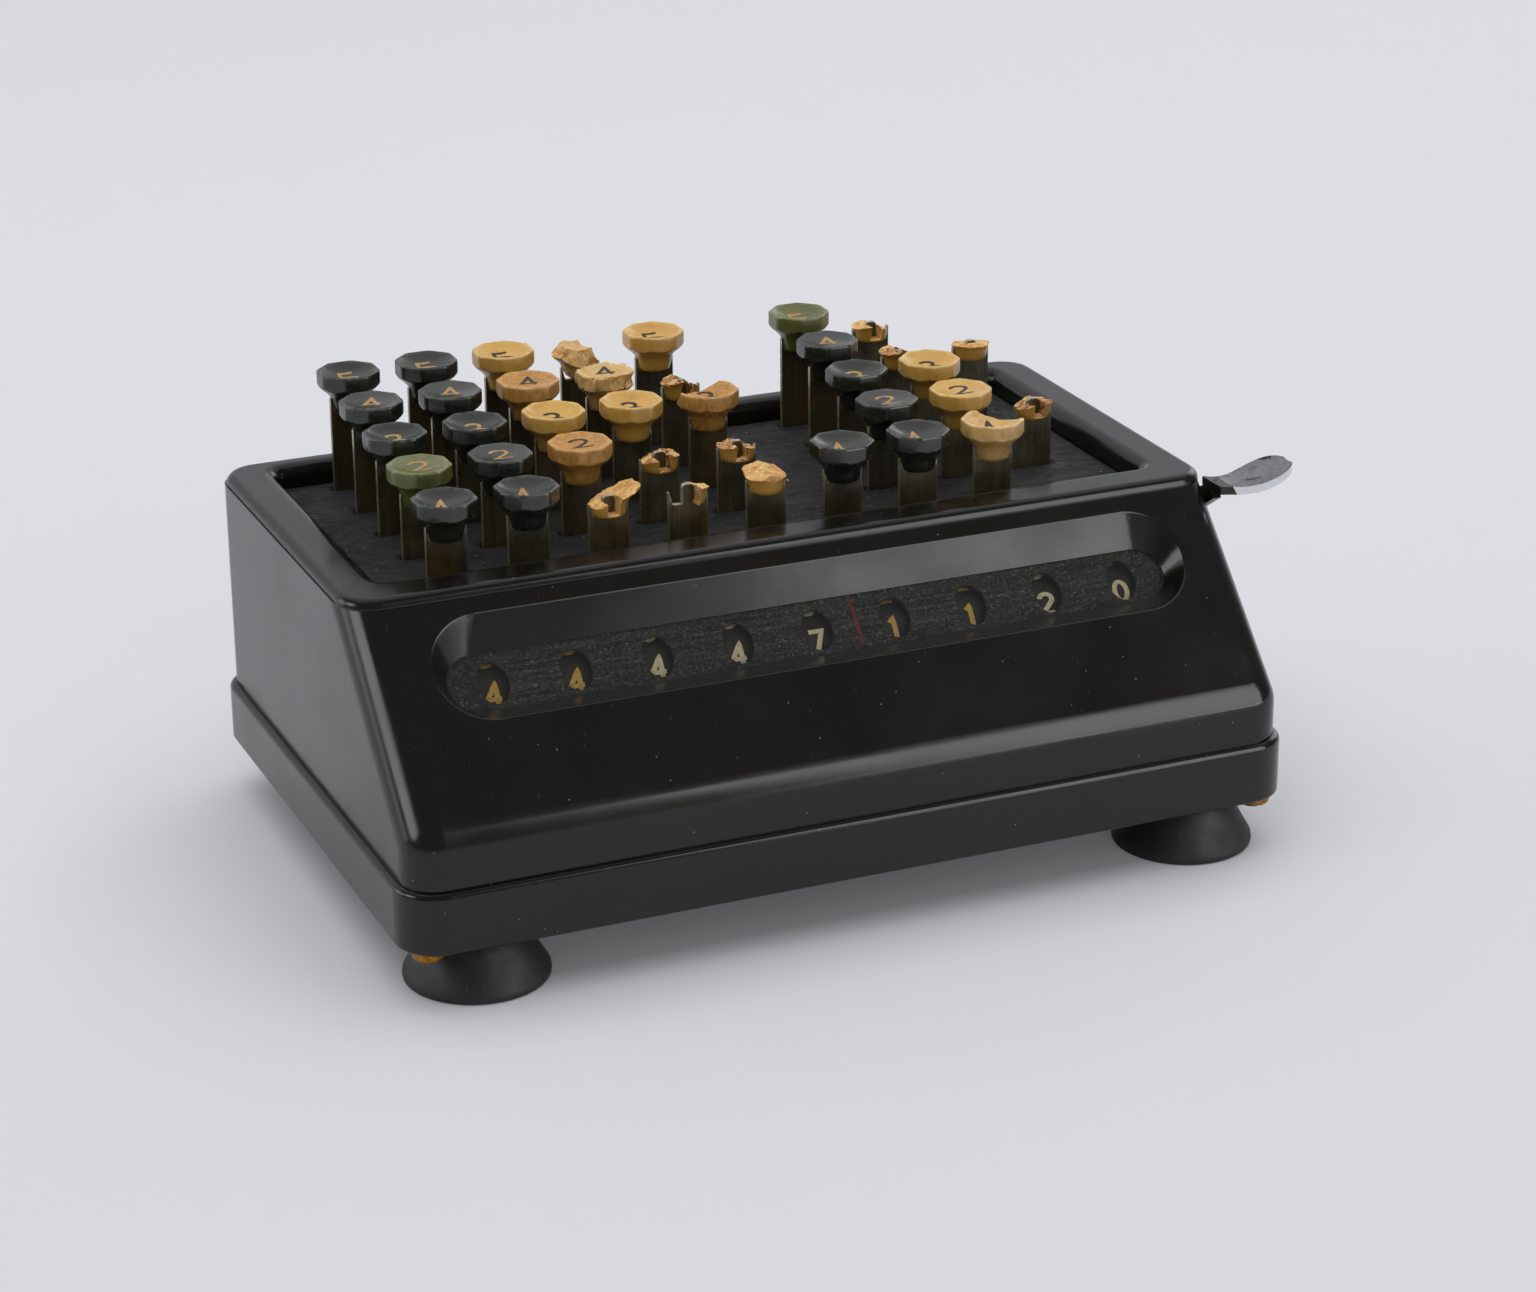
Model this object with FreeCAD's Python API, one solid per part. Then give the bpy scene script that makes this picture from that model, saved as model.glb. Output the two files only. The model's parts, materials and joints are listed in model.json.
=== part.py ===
import FreeCAD, Part
import math
import os

from FreeCAD import Placement, Rotation, Vector

# Key-driven adding machine in a moulded case, in millimetres.
# X runs to the right, Y to the back and Z up. The pieces are made about the middle of the
# case, and then moved so that the origin lies on the surface that the machine stands on,
# under the middle of the whole machine with its lever.

# Case: an upright front band, a slope with the dial window, and a flat top
case_width = 210.0
case_depth = 138.3
case_wall = 3.0
case_corner_radius = 8.2
band_height = 11.2
slope_run = 37.6
slope_rise = 38.5
bend_radius = 9.0

# Raised rim round the key well, narrower at the back
rim_height = 2.3
rim_setback = 0.35
rim_outer_round = 2.2
rim_inner_round = 3.3
rim_side = 11.8
rim_front = 12.4
rim_back = 7.3
well_corner_radius = 3.0
well_depth = 5.0

# Base tray, which stands out all round under the case
tray_overhang = 1.6
tray_height = 14.4
tray_floor = 2.4
tray_wall = 4.0
tray_top_round = 1.5
tray_bottom_round = 1.0

# Feet and the brass screws that hold the case to the tray
foot_height = 13.0
foot_base_radius = 16.2
foot_top_radius = 10.2
foot_skirt = 1.6
front_foot_inset_x = 20.1
back_foot_inset_x = 30.5
foot_inset_y = 15.8
screw_inset = 6.7
screw_head_radius = 3.9
screw_head_height = 3.0
screw_radius = 1.75
screw_length = 24.0
screw_slot_width = 1.0
screw_slot_depth = 0.8
screw_clearance = 0.2
pillar_radius = 3.6
pillar_height = 12.0

# Key grid: insets run from the key well's sides to the middle of the nearest stems, and the
# sixth and ninth columns have only a few keys
column_count = 9
row_count = 5
first_column_inset = 17.8
last_column_inset = 16.2
first_row_inset = 8.15
last_row_inset = 5.05
rows_in_column = {column: range(1, row_count + 1) for column in range(1, column_count + 1)}
rows_in_column[6] = (1,)
rows_in_column[9] = (2, 4)

# Keys: a flat steel stem and a turned cap cut to eight sides
stem_width = 9.5
stem_thickness = 1.2
horn_height = 3.0
horn_shoulder = 1.8
horn_tip = 0.25
tang_width = 2.9
tang_height = 4.5
first_cap_top = 18.8
row_rise = 2.4
first_stroke = 4.0
cap_height = 9.5
cap_row_gap = 3.05
cap_corner_reach = 0.4
cap_edge_round = 0.3
cap_land = 0.5
cap_face_height = 3.5
neck_height = 3.8
neck_base_radius = 3.9
neck_top_radius = 4.6
deep_dish = 2.2
shallow_dish = 0.7
fit_gap = 0.05

# Caps that have crumbled: break planes from the middle of the neck's underside, each a point
# on the break and the way the missing piece left, and whether the tang shows in front
stub_left_high = {
    "breaks": [((-2.6, 0, 3.4), (-0.25, 0.1, 1)), ((2.4, 0, 2.2), (0.5, -0.15, 1))],
    "open_front": True,
}
stub_right_high = {
    "breaks": [((-2.6, 0, 2.3), (-0.45, -0.2, 1)), ((2.6, 0, 3.5), (0.2, 0.25, 1))],
    "open_front": True,
}
stub_tall = {
    "breaks": [((-3.0, 0, 4.2), (-0.3, 0.3, 1)), ((2.8, 0, 3.0), (0.6, 0.2, 1))],
    "open_front": True,
}
chipped_behind = {
    "breaks": [((-0.5, 4.2, 6.8), (-0.3, 0.7, 0.55))],
    "open_front": False,
}
chipped_right = {
    "breaks": [((4.4, 2.6, 6.4), (0.62, 0.5, 0.5))],
    "open_front": False,
}
solid_lump = {
    "breaks": [
        ((0, 0, 4.6), (-0.25, -0.2, 1)),
        ((2.0, 0, 4.4), (0.5, 0.1, 1)),
        ((-4.6, 0, 3.5), (-1, 0, 0.3)),
    ],
    "open_front": False,
}
tall_shard = {
    "breaks": [
        ((-0.6, 0, 6.2), (-0.75, 0, 0.66)),
        ((4.4, 0, 6.0), (1, 0.1, 0.05)),
        ((0, -2.6, 6.0), (0.1, -1, 0.5)),
        ((0, 3.4, 6.0), (0, 1, 0.1)),
    ],
    "open_front": False,
}
crumbled = {
    "breaks": [
        ((-5.4, 0, 6.0), (-1, 0.2, -0.1)),
        ((5.6, 1.0, 6.0), (1, 0.3, -0.2)),
        ((0, -5.6, 6.0), (0.15, -1, -0.3)),
        ((-3.6, -4.2, 6.0), (-0.7, -0.7, 0.1)),
        ((2.5, 0, 8.6), (0.25, 0.2, 1)),
    ],
    "open_front": False,
}
curled_shell = {
    "breaks": [((0, 0, 4.4), (-0.3, 0.25, 1)), ((0, 3.0, 3.0), (0.1, 1, 0.6))],
    "open_front": False,
}
cap_states = {
    (3, 1): curled_shell,
    (4, 1): stub_left_high,
    (4, 2): stub_right_high,
    (4, 4): crumbled,
    (4, 5): tall_shard,
    (5, 1): solid_lump,
    (5, 2): stub_left_high,
    (5, 3): chipped_behind,
    (5, 4): stub_tall,
    (8, 1): chipped_right,
    (8, 4): stub_tall,
    (8, 5): stub_left_high,
    (9, 2): stub_right_high,
    (9, 4): stub_left_high,
}

# Felt on the key well's floor
felt_thickness = 1.5
felt_edge_gap = 0.2
felt_slot_gap = 0.7

# Key guide plates and the frame that carries them
plate_thickness = 1.5
guide_gap = 0.25
lower_guide_height = 24.6
lower_guide_gap = 1.0
frame_pillar_gap = 0.3
frame_thickness = 2.0
frame_flange = 8.0
frame_setback = 10.5
frame_front_height = 19.6
frame_back_gap = 2.3

# Dial pocket, cut into the slope: the dials' height is measured up the slope from the bend, and
# the pocket's edges from the middle of the dials
dial_height = 35.8
pocket_below_dials = 10.5
pocket_above_dials = 14.3
pocket_end_reach = 14.2
pocket_depth = 5.0
pocket_low_flare = 4.2
pocket_high_flare = 7.4
pocket_end_flare = 3.6
pocket_wall = 2.6
pocket_lip_round = 0.6
window_lip = 1.5
window_thickness = 1.2
mask_lip = 2.2
mask_thickness = 0.8
dial_opening_width = 7.2
dial_opening_height = 9.9

# Number wheels on their axle
wheel_radius = 15.0
wheel_gap = 1.0
drum_left = 5.6
drum_right = 3.6
pinion_width = 2.0
pinion_radius = 3.9
pinion_root = 3.1
pinion_teeth = 10
pinion_tip_share = 0.14
pinion_root_share = 0.3
web_recess = 2.2
web_rim = 1.6
web_hub_radius = 5.0
axle_radius = 2.5
running_gap = 0.05
collar_radius = 4.0
collar_gap = 0.2

# Drive slides under the keys, held upright in two combs
slide_thickness = 1.2
slide_inset = 0.4
slide_height = 8.0
slide_rest = 1.6
stem_to_slide = 0.4
rack_reach = 5.0
rack_rise = 4.0
mesh_gap = 0.3
comb_thickness = 1.5
comb_slot_gap = 0.15
comb_clearance = 3.0
slide_overhang = 1.5

# Clearing lever and its shaft
clear_shaft_radius = 3.0
clear_shaft_height = 41.6
clear_case_gap = 0.5
lever_side_gap = 1.3
lever_thickness = 2.0
lever_hub_radius = 6.0
lever_arm_length = 31.6
lever_arm_angle = 146.5
lever_arm_width = 4.4
thumb_neck = 3.0
thumb_neck_half_width = 4.4
thumb_length = 15.3
thumb_thickness = 1.9

# Thumb piece past its neck: share of its length, half width, height and hollow of each section
thumb_stations = [
    (0.0, 4.4, -0.9, 0.3),
    (0.5, 6.2, -0.4, 1.0),
    (0.88, 4.5, 1.7, 0.8),
    (1.0, 1.9, 2.4, 0.3),
]
thumb_root_hollow = 0.05

# Fingers on the clearing shaft, one for each wheel
finger_length = 12.0
finger_width = 5.0
finger_thickness = 1.2
finger_offset = 7.6

# How far a cutting block runs past the face that it opens
cut_past = 1.0

# Levels and planes that follow from the sizes above
tray_bottom_z = foot_height
floor_z = tray_bottom_z + tray_floor
crease_z = tray_bottom_z + tray_height
bend_z = crease_z + band_height
deck_z = bend_z + slope_rise
rim_z = deck_z + rim_height
felt_z = rim_z - well_depth
guide_top_z = felt_z - felt_thickness
half_width = case_width / 2
front_y = -case_depth / 2
back_y = case_depth / 2
well_front_y = front_y + slope_run + rim_front
well_back_y = back_y - rim_back
well_half = half_width - rim_side
column_pitch = (2 * well_half - first_column_inset - last_column_inset) / (column_count - 1)
row_pitch = (well_back_y - well_front_y - first_row_inset - last_row_inset) / (row_count - 1)
grid_middle_x = (first_column_inset - last_column_inset) / 2
pocket_half_length = (column_count - 1) / 2 * column_pitch + pocket_end_reach
pocket_low = dial_height - pocket_below_dials
pocket_high = dial_height + pocket_above_dials
cap_across_flats = row_pitch - cap_row_gap
cap_turned_radius = cap_across_flats / 2 + cap_corner_reach
slope_length = math.hypot(slope_run, slope_rise)
slope_angle = math.degrees(math.atan2(slope_rise, slope_run))
slope_sin = slope_rise / slope_length
slope_cos = slope_run / slope_length
screw_x = half_width + tray_overhang - screw_inset
screw_y = case_depth / 2 + tray_overhang - screw_inset
frame_outer = screw_x - pillar_radius - frame_pillar_gap
frame_inner = frame_outer - frame_thickness
upper_guide_z = guide_top_z - plate_thickness
lower_guide_z = floor_z + lower_guide_height
slide_z = floor_z + slide_rest
slide_top_z = slide_z + slide_height
mask_depth = pocket_depth + window_thickness
wheel_depth = mask_depth + mask_thickness + wheel_gap + wheel_radius
wheel_y = front_y + dial_height * slope_cos + wheel_depth * slope_sin
wheel_z = bend_z + dial_height * slope_sin - wheel_depth * slope_cos
clear_shaft_z = floor_z + clear_shaft_height
lever_reach = lever_side_gap + lever_thickness + thumb_neck + thumb_length
case_middle_x = (tray_overhang - lever_reach) / 2
slope_place = Placement(Vector(0, front_y, bend_z), Rotation(Vector(1, 0, 0), slope_angle))


def column_x(column):
    """Middle of a key column."""
    return first_column_inset - well_half + (column - 1) * column_pitch


def row_y(row):
    """Middle of the stems of a key row."""
    return well_front_y + first_row_inset + (row - 1) * row_pitch


def stroke(row):
    """Full travel of a key: the pressed keys all end level."""
    return first_stroke + (row - 1) * row_rise


def cap_base_z(row):
    """Underside of a cap's neck at rest."""
    return felt_z + first_cap_top + (row - 1) * row_rise - cap_height


clear_shaft_y = row_y(1) + row_pitch / 2


def box(x0, x1, y0, y1, z0, z1):
    """Block between two corners."""
    return Part.makeBox(x1 - x0, y1 - y0, z1 - z0, Vector(x0, y0, z0))


def upright_edges(shape):
    """Edges that run straight up."""
    found = []
    for edge in shape.Edges:
        run = edge.Vertexes[-1].Point - edge.Vertexes[0].Point
        if abs(run.x) < 1e-6 and abs(run.y) < 1e-6 and abs(run.z) > 1e-6:
            found.append(edge)
    return found


def level_edges(shape, z):
    """Edges that lie wholly at one height."""
    found = []
    for edge in shape.Edges:
        bounds = edge.BoundBox
        if abs(bounds.ZMin - z) < 1e-6 and abs(bounds.ZMax - z) < 1e-6:
            found.append(edge)
    return found


def rounded_box(x0, x1, y0, y1, z0, z1, radius):
    """Block with its four upright edges rounded."""
    block = box(x0, x1, y0, y1, z0, z1)
    return block.makeFillet(radius, upright_edges(block))


def rod(x0, x1, y, z, radius):
    """Round bar along X."""
    return Part.makeCylinder(radius, x1 - x0, Vector(x0, y, z), Vector(1, 0, 0))


def side_plate(points, x0, x1):
    """Flat plate whose outline is a list of (y, z) points."""
    corners = [Vector(x0, y, z) for y, z in points]
    face = Part.Face(Part.makePolygon(corners + corners[:1]))
    return face.extrude(Vector(x1 - x0, 0, 0))


def four_corners(x, y):
    """The four (x, y) places that mirror one another about the middle."""
    return [(-x, -y), (x, -y), (-x, y), (x, y)]


def slope_y(z, depth):
    """Y of the plane that lies at a depth behind the slope, at one height."""
    return front_y + (z - bend_z) * slope_run / slope_rise + depth / slope_sin


def stadium(level, low, high, left, right):
    """Closed wire with round ends, in the slope's own X and Y, at a level."""
    radius = (high - low) / 2
    middle = (high + low) / 2
    top_left = Vector(left + radius, high, level)
    top_right = Vector(right - radius, high, level)
    bottom_left = Vector(left + radius, low, level)
    bottom_right = Vector(right - radius, low, level)
    right_end = Part.Arc(top_right, Vector(right, middle, level), bottom_right)
    left_end = Part.Arc(bottom_left, Vector(left, middle, level), top_left)
    edges = [
        Part.LineSegment(top_left, top_right).toShape(),
        right_end.toShape(),
        Part.LineSegment(bottom_right, bottom_left).toShape(),
        left_end.toShape(),
    ]
    return Part.Wire(edges)


def pocket_outline(level, grow):
    """Outline of the dial pocket at a level, grown outwards by a wall."""
    share = -level / pocket_depth
    low = pocket_low + share * pocket_low_flare - grow
    high = pocket_high - share * pocket_high_flare + grow
    half = pocket_half_length - share * pocket_end_flare + grow
    return stadium(level, low, high, grid_middle_x - half, grid_middle_x + half)


def pocket_space(grow, top_level):
    """Flared space of the dial pocket, from a level down to its floor."""
    outlines = [pocket_outline(top_level, grow), pocket_outline(-pocket_depth, grow)]
    space = Part.makeLoft(outlines, True, True)
    space.Placement = slope_place
    return space


def pocket_plate(depth, thickness, lip):
    """Plate behind the pocket's floor, larger than its opening by a lip."""
    low = pocket_low + pocket_low_flare - lip
    high = pocket_high - pocket_high_flare + lip
    half = pocket_half_length - pocket_end_flare + lip
    outline = stadium(-depth, low, high, grid_middle_x - half, grid_middle_x + half)
    return Part.Face(outline).extrude(Vector(0, 0, -thickness))


def case_envelope():
    """Outer form of the case below its rim."""
    outline = [(front_y, crease_z), (front_y, bend_z), (front_y + slope_run, deck_z)]
    outline += [(back_y, deck_z), (back_y, crease_z)]
    body = side_plate(outline, -half_width, half_width)
    bends = []
    for edge in body.Edges:
        bounds = edge.BoundBox
        on_bend = abs(bounds.YMin - front_y) < 1e-6 and abs(bounds.YMax - front_y) < 1e-6
        if on_bend and abs(bounds.ZMin - bend_z) < 1e-6 and bounds.ZLength < 1e-6:
            bends.append(edge)
    body = body.makeFillet(bend_radius, bends)
    sides = []
    for edge in body.Edges:
        bounds = edge.BoundBox
        if bounds.XLength < 1e-6 and bounds.ZLength > 1e-6:
            sides.append(edge)
    return body.makeFillet(case_corner_radius, sides)


def case_cavity():
    """Hollow of the case: open below, and level under the rim."""
    low = crease_z - cut_past
    inner_front = front_y + case_wall
    corner_z = bend_z + (case_wall - case_wall / slope_sin) * slope_rise / slope_run
    outline = [(inner_front, low), (inner_front, corner_z)]
    outline += [(slope_y(guide_top_z, case_wall), guide_top_z)]
    outline += [(back_y - case_wall, guide_top_z), (back_y - case_wall, low)]
    return side_plate(outline, case_wall - half_width, half_width - case_wall)


def rim_block():
    """Raised block with a rounded outer edge, from which the rim is left."""
    side = half_width - rim_setback
    near = front_y + slope_run + rim_setback
    far = back_y - rim_setback
    block = rounded_box(-side, side, near, far, deck_z, rim_z, case_corner_radius)
    return block.makeFillet(rim_outer_round, level_edges(block, rim_z))


def round_well_lip(shape):
    """Rounds the rim's inner edge, all round the key well."""
    lips = []
    for edge in level_edges(shape, rim_z):
        bounds = edge.BoundBox
        beside = max(abs(bounds.XMin), abs(bounds.XMax)) < well_half + 1e-3
        if beside and bounds.YMin > well_front_y - 1e-3 and bounds.YMax < well_back_y + 1e-3:
            lips.append(edge)
    return shape.makeFillet(rim_inner_round, lips)


def round_pocket_lip(shape):
    """Rounds the edge where the dial pocket opens into the slope."""
    to_slope = slope_place.inverse()
    reach = pocket_half_length + cut_past
    lips = []
    for edge in shape.Edges:
        middle = edge.valueAt((edge.FirstParameter + edge.LastParameter) / 2)
        places = [to_slope.multVec(point) for point in [middle] + [v.Point for v in edge.Vertexes]]
        level = all(abs(place.z) < 1e-4 for place in places)
        beside = abs(places[0].x - grid_middle_x) < reach
        inside = pocket_low - cut_past < places[0].y < pocket_high + cut_past
        if level and beside and inside:
            lips.append(edge)
    return shape.makeFillet(pocket_lip_round, lips)


def well_block():
    """Space of the key well, right through the top of the case."""
    low = guide_top_z - cut_past
    high = rim_z + cut_past
    return rounded_box(-well_half, well_half, well_front_y, well_back_y, low, high, well_corner_radius)


def make_upper_case():
    """Moulded case: slope with the dial pocket, key well, rim and screw pillars."""
    envelope = case_envelope()
    shell = envelope.cut(case_cavity())
    shell = shell.fuse(pocket_space(pocket_wall, 0.0).common(envelope))
    shell = round_pocket_lip(shell.cut(pocket_space(0.0, cut_past)).removeSplitter())
    shell = shell.fuse(rim_block()).removeSplitter()
    shell = round_well_lip(shell.cut(well_block()))
    for x, y in four_corners(screw_x, screw_y):
        pillar = Part.makeCylinder(pillar_radius, pillar_height, Vector(x, y, crease_z))
        pillar = pillar.common(envelope)
        bore_depth = screw_length - tray_height
        bore = Part.makeCylinder(screw_radius, bore_depth, Vector(x, y, crease_z))
        shell = shell.fuse(pillar)
        shell = shell.cut(bore)
    hole_radius = clear_shaft_radius + clear_case_gap
    hole_start = half_width - case_wall - cut_past
    hole_end = half_width + cut_past
    shell = shell.cut(rod(hole_start, hole_end, clear_shaft_y, clear_shaft_z, hole_radius))
    return shell.removeSplitter()


def make_base_tray():
    """Shallow moulded tray with a floor, a rounded top edge and screw pillars."""
    side = half_width + tray_overhang
    end = case_depth / 2 + tray_overhang
    radius = case_corner_radius + tray_overhang
    tray = rounded_box(-side, side, -end, end, tray_bottom_z, crease_z, radius)
    tray = tray.makeFillet(tray_top_round, level_edges(tray, crease_z))
    tray = tray.makeFillet(tray_bottom_round, level_edges(tray, tray_bottom_z))
    inner_side = side - tray_wall
    inner_end = end - tray_wall
    hollow_top = crease_z + cut_past
    hollow = box(-inner_side, inner_side, -inner_end, inner_end, floor_z, hollow_top)
    tray = tray.cut(hollow)
    for x, y in four_corners(screw_x, screw_y):
        height = tray_height - tray_floor
        tray = tray.fuse(Part.makeCylinder(pillar_radius, height, Vector(x, y, floor_z)))
        hole_radius = screw_radius + screw_clearance
        start = Vector(x, y, tray_bottom_z - cut_past)
        tray = tray.cut(Part.makeCylinder(hole_radius, tray_height + 2 * cut_past, start))
    return tray.removeSplitter()


def make_rubber_feet():
    """Four flared rubber feet, the back pair nearer together."""
    feet = []
    for side, end in four_corners(1, 1):
        inset = front_foot_inset_x if end < 0 else back_foot_inset_x
        x = side * (half_width + tray_overhang - inset)
        y = end * (case_depth / 2 + tray_overhang - foot_inset_y)
        skirt = Part.makeCylinder(foot_base_radius, foot_skirt, Vector(x, y, 0))
        flare_height = foot_height - foot_skirt
        start = Vector(x, y, foot_skirt)
        flare = Part.makeCone(foot_base_radius, foot_top_radius, flare_height, start)
        feet.append(skirt.fuse(flare).removeSplitter())
    return Part.makeCompound(feet)


def make_case_screws():
    """Four brass screws with slotted round heads under the tray."""
    screws = []
    for x, y in four_corners(screw_x, screw_y):
        head_z = tray_bottom_z - screw_head_height
        head = Part.makeCylinder(screw_head_radius, screw_head_height, Vector(x, y, head_z))
        half_slot = screw_slot_width / 2
        slot_x0 = x - screw_head_radius - cut_past
        slot_x1 = x + screw_head_radius + cut_past
        slot_low = head_z - cut_past
        slot_top = head_z + screw_slot_depth
        slot = box(slot_x0, slot_x1, y - half_slot, y + half_slot, slot_low, slot_top)
        shank = Part.makeCylinder(screw_radius, screw_length, Vector(x, y, tray_bottom_z))
        screws.append(head.cut(slot).fuse(shank).removeSplitter())
    return Part.makeCompound(screws)


def cut_stem_slots(plate, gap):
    """Cuts one slot for each key stem through a level plate."""
    z0 = plate.BoundBox.ZMin - cut_past
    z1 = plate.BoundBox.ZMax + cut_past
    half_x = stem_width / 2 + gap
    half_y = stem_thickness / 2 + gap
    slots = []
    for column, rows in rows_in_column.items():
        x = column_x(column)
        for row in rows:
            y = row_y(row)
            slots.append(box(x - half_x, x + half_x, y - half_y, y + half_y, z0, z1))
    return plate.cut(Part.makeCompound(slots))


def make_keyboard_felt():
    """Felt mat on the key well's floor, slotted for the stems."""
    half = well_half - felt_edge_gap
    near = well_front_y + felt_edge_gap
    far = well_back_y - felt_edge_gap
    radius = well_corner_radius - felt_edge_gap
    mat = rounded_box(-half, half, near, far, guide_top_z, felt_z, radius)
    return cut_stem_slots(mat, felt_slot_gap)


def frame_back_y():
    """Back edge of the frame and of the guide plates."""
    return back_y - case_wall - frame_back_gap


def make_key_guides():
    """Upper and lower guide plates, slotted for the stems."""
    near = slope_y(upper_guide_z, frame_setback)
    upper = box(-frame_outer, frame_outer, near, frame_back_y(), upper_guide_z, guide_top_z)
    lower_top = lower_guide_z + plate_thickness
    lower_near = comb_front_y() + comb_thickness + lower_guide_gap
    lower_far = comb_back_y() - lower_guide_gap
    lower = box(-frame_inner, frame_inner, lower_near, lower_far, lower_guide_z, lower_top)
    return Part.makeCompound([cut_stem_slots(plate, guide_gap) for plate in (upper, lower)])


def make_side_frames():
    """Two steel side frames with feet turned inwards, bored for the shafts."""
    low_y = slope_y(floor_z + frame_front_height, frame_setback)
    high_y = slope_y(upper_guide_z, frame_setback)
    outline = [(low_y, floor_z), (low_y, floor_z + frame_front_height)]
    outline += [(high_y, upper_guide_z), (frame_back_y(), upper_guide_z)]
    outline += [(frame_back_y(), floor_z)]
    frames = []
    for side in (-1, 1):
        x0 = min(side * frame_inner, side * frame_outer)
        x1 = max(side * frame_inner, side * frame_outer)
        flange_x = side * (frame_inner - frame_flange)
        flange_x0 = min(flange_x, side * frame_inner)
        flange_x1 = max(flange_x, side * frame_inner)
        plate = side_plate(outline, x0, x1)
        flange_top = floor_z + frame_thickness
        flange = box(flange_x0, flange_x1, low_y, comb_front_y(), floor_z, flange_top)
        plate = plate.fuse(flange).removeSplitter()
        bore_x0 = x0 - cut_past
        bore_x1 = x1 + cut_past
        plate = plate.cut(rod(bore_x0, bore_x1, wheel_y, wheel_z, axle_radius))
        shaft_bore = clear_shaft_radius + running_gap
        plate = plate.cut(rod(bore_x0, bore_x1, clear_shaft_y, clear_shaft_z, shaft_bore))
        frames.append(plate)
    return Part.makeCompound(frames)


def make_dial_window():
    """Clear sheet over the dials."""
    window = pocket_plate(pocket_depth, window_thickness, window_lip)
    window.Placement = slope_place
    return window


def make_dial_mask():
    """Dark strip with one oval opening for each number wheel."""
    mask = pocket_plate(mask_depth, mask_thickness, mask_lip)
    openings = []
    for column in range(1, column_count + 1):
        centre = Vector(column_x(column), dial_height, -mask_depth - mask_thickness - cut_past)
        top = centre + Vector(0, dial_opening_height / 2, 0)
        side = centre + Vector(dial_opening_width / 2, 0, 0)
        oval = Part.Ellipse(top, side, centre).toShape()
        face = Part.Face(Part.Wire([oval]))
        openings.append(face.extrude(Vector(0, 0, mask_thickness + 2 * cut_past)))
    mask = mask.cut(Part.makeCompound(openings))
    mask.Placement = slope_place
    return mask


def pinion_outline(x):
    """Ten-tooth outline round the wheel's axis: a narrow tip and a narrow root in turn."""
    points = []
    step = 2 * math.pi / pinion_teeth
    tooth_corners = [(pinion_root, -pinion_root_share), (pinion_radius, -pinion_tip_share)]
    tooth_corners += [(radius, -share) for radius, share in reversed(tooth_corners)]
    for tooth in range(pinion_teeth):
        for radius, share in tooth_corners:
            angle = (tooth + share) * step
            points.append(Vector(x, radius * math.cos(angle), radius * math.sin(angle)))
    return Part.makePolygon(points + points[:1])


def make_number_wheel(column):
    """Number wheel: a hollow-faced drum with its driving pinion, bored for the axle."""
    middle = column_x(column)
    left = middle - drum_left
    right = middle + drum_right
    drum = rod(left, right, 0, 0, wheel_radius)
    recess = rod(left - cut_past, left + web_recess, 0, 0, wheel_radius - web_rim)
    hub = rod(left - cut_past, left + web_recess, 0, 0, web_hub_radius)
    drum = drum.cut(recess.cut(hub))
    pinion = Part.Face(pinion_outline(right)).extrude(Vector(pinion_width, 0, 0))
    wheel = drum.fuse(pinion)
    bore_radius = axle_radius + running_gap
    bore_end = right + pinion_width + cut_past
    wheel = wheel.cut(rod(left - cut_past, bore_end, 0, 0, bore_radius))
    wheel.translate(Vector(0, wheel_y, wheel_z))
    return wheel


def make_wheel_axle():
    """Fixed axle, with collars that keep the wheels apart."""
    solids = [rod(-frame_outer, frame_outer, wheel_y, wheel_z, axle_radius)]
    starts = [-frame_inner]
    for column in range(1, column_count + 1):
        starts.append(column_x(column) + drum_right + pinion_width + collar_gap)
    for index, start in enumerate(starts):
        if index < column_count:
            end = column_x(index + 1) - drum_left - collar_gap
        else:
            end = frame_inner
        collar = rod(start, end, wheel_y, wheel_z, collar_radius)
        bore = rod(start - cut_past, end + cut_past, wheel_y, wheel_z, axle_radius)
        solids.append(collar.cut(bore))
    return Part.makeCompound(solids)


def comb_front_y():
    """Front face of the front comb."""
    return row_y(1) - stem_thickness / 2 - comb_clearance - comb_thickness


def comb_back_y():
    """Front face of the back comb."""
    return row_y(row_count) + stem_thickness / 2 + comb_clearance


def slide_x(column):
    """Left face of a column's drive slide."""
    return column_x(column) + drum_right + slide_inset


def make_drive_slides():
    """One drive slide for each column, drawn fully down: a bar under the stems, with a rack."""
    slides = []
    rack_front = wheel_y + pinion_radius + mesh_gap
    rack_back = rack_front + rack_reach
    rack_top = wheel_z + rack_rise
    bar_back = comb_back_y() + comb_thickness + slide_overhang
    outline = [(rack_front, slide_z), (rack_front, rack_top), (rack_back, rack_top)]
    outline += [(rack_back, slide_top_z), (bar_back, slide_top_z), (bar_back, slide_z)]
    for column in range(1, column_count + 1):
        left = slide_x(column)
        slides.append(side_plate(outline, left, left + slide_thickness))
    return Part.makeCompound(slides)


def make_slide_combs():
    """Two slotted plates across the frame that hold the drive slides upright."""
    combs = []
    top = slide_top_z + stroke(row_count)
    for near in (comb_front_y(), comb_back_y()):
        comb = box(-frame_inner, frame_inner, near, near + comb_thickness, floor_z, top)
        for column in range(1, column_count + 1):
            x0 = slide_x(column) - comb_slot_gap
            x1 = slide_x(column) + slide_thickness + comb_slot_gap
            y0 = near - cut_past
            y1 = near + comb_thickness + cut_past
            comb = comb.cut(box(x0, x1, y0, y1, slide_z, top + cut_past))
        combs.append(comb)
    return Part.makeCompound(combs)


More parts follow.
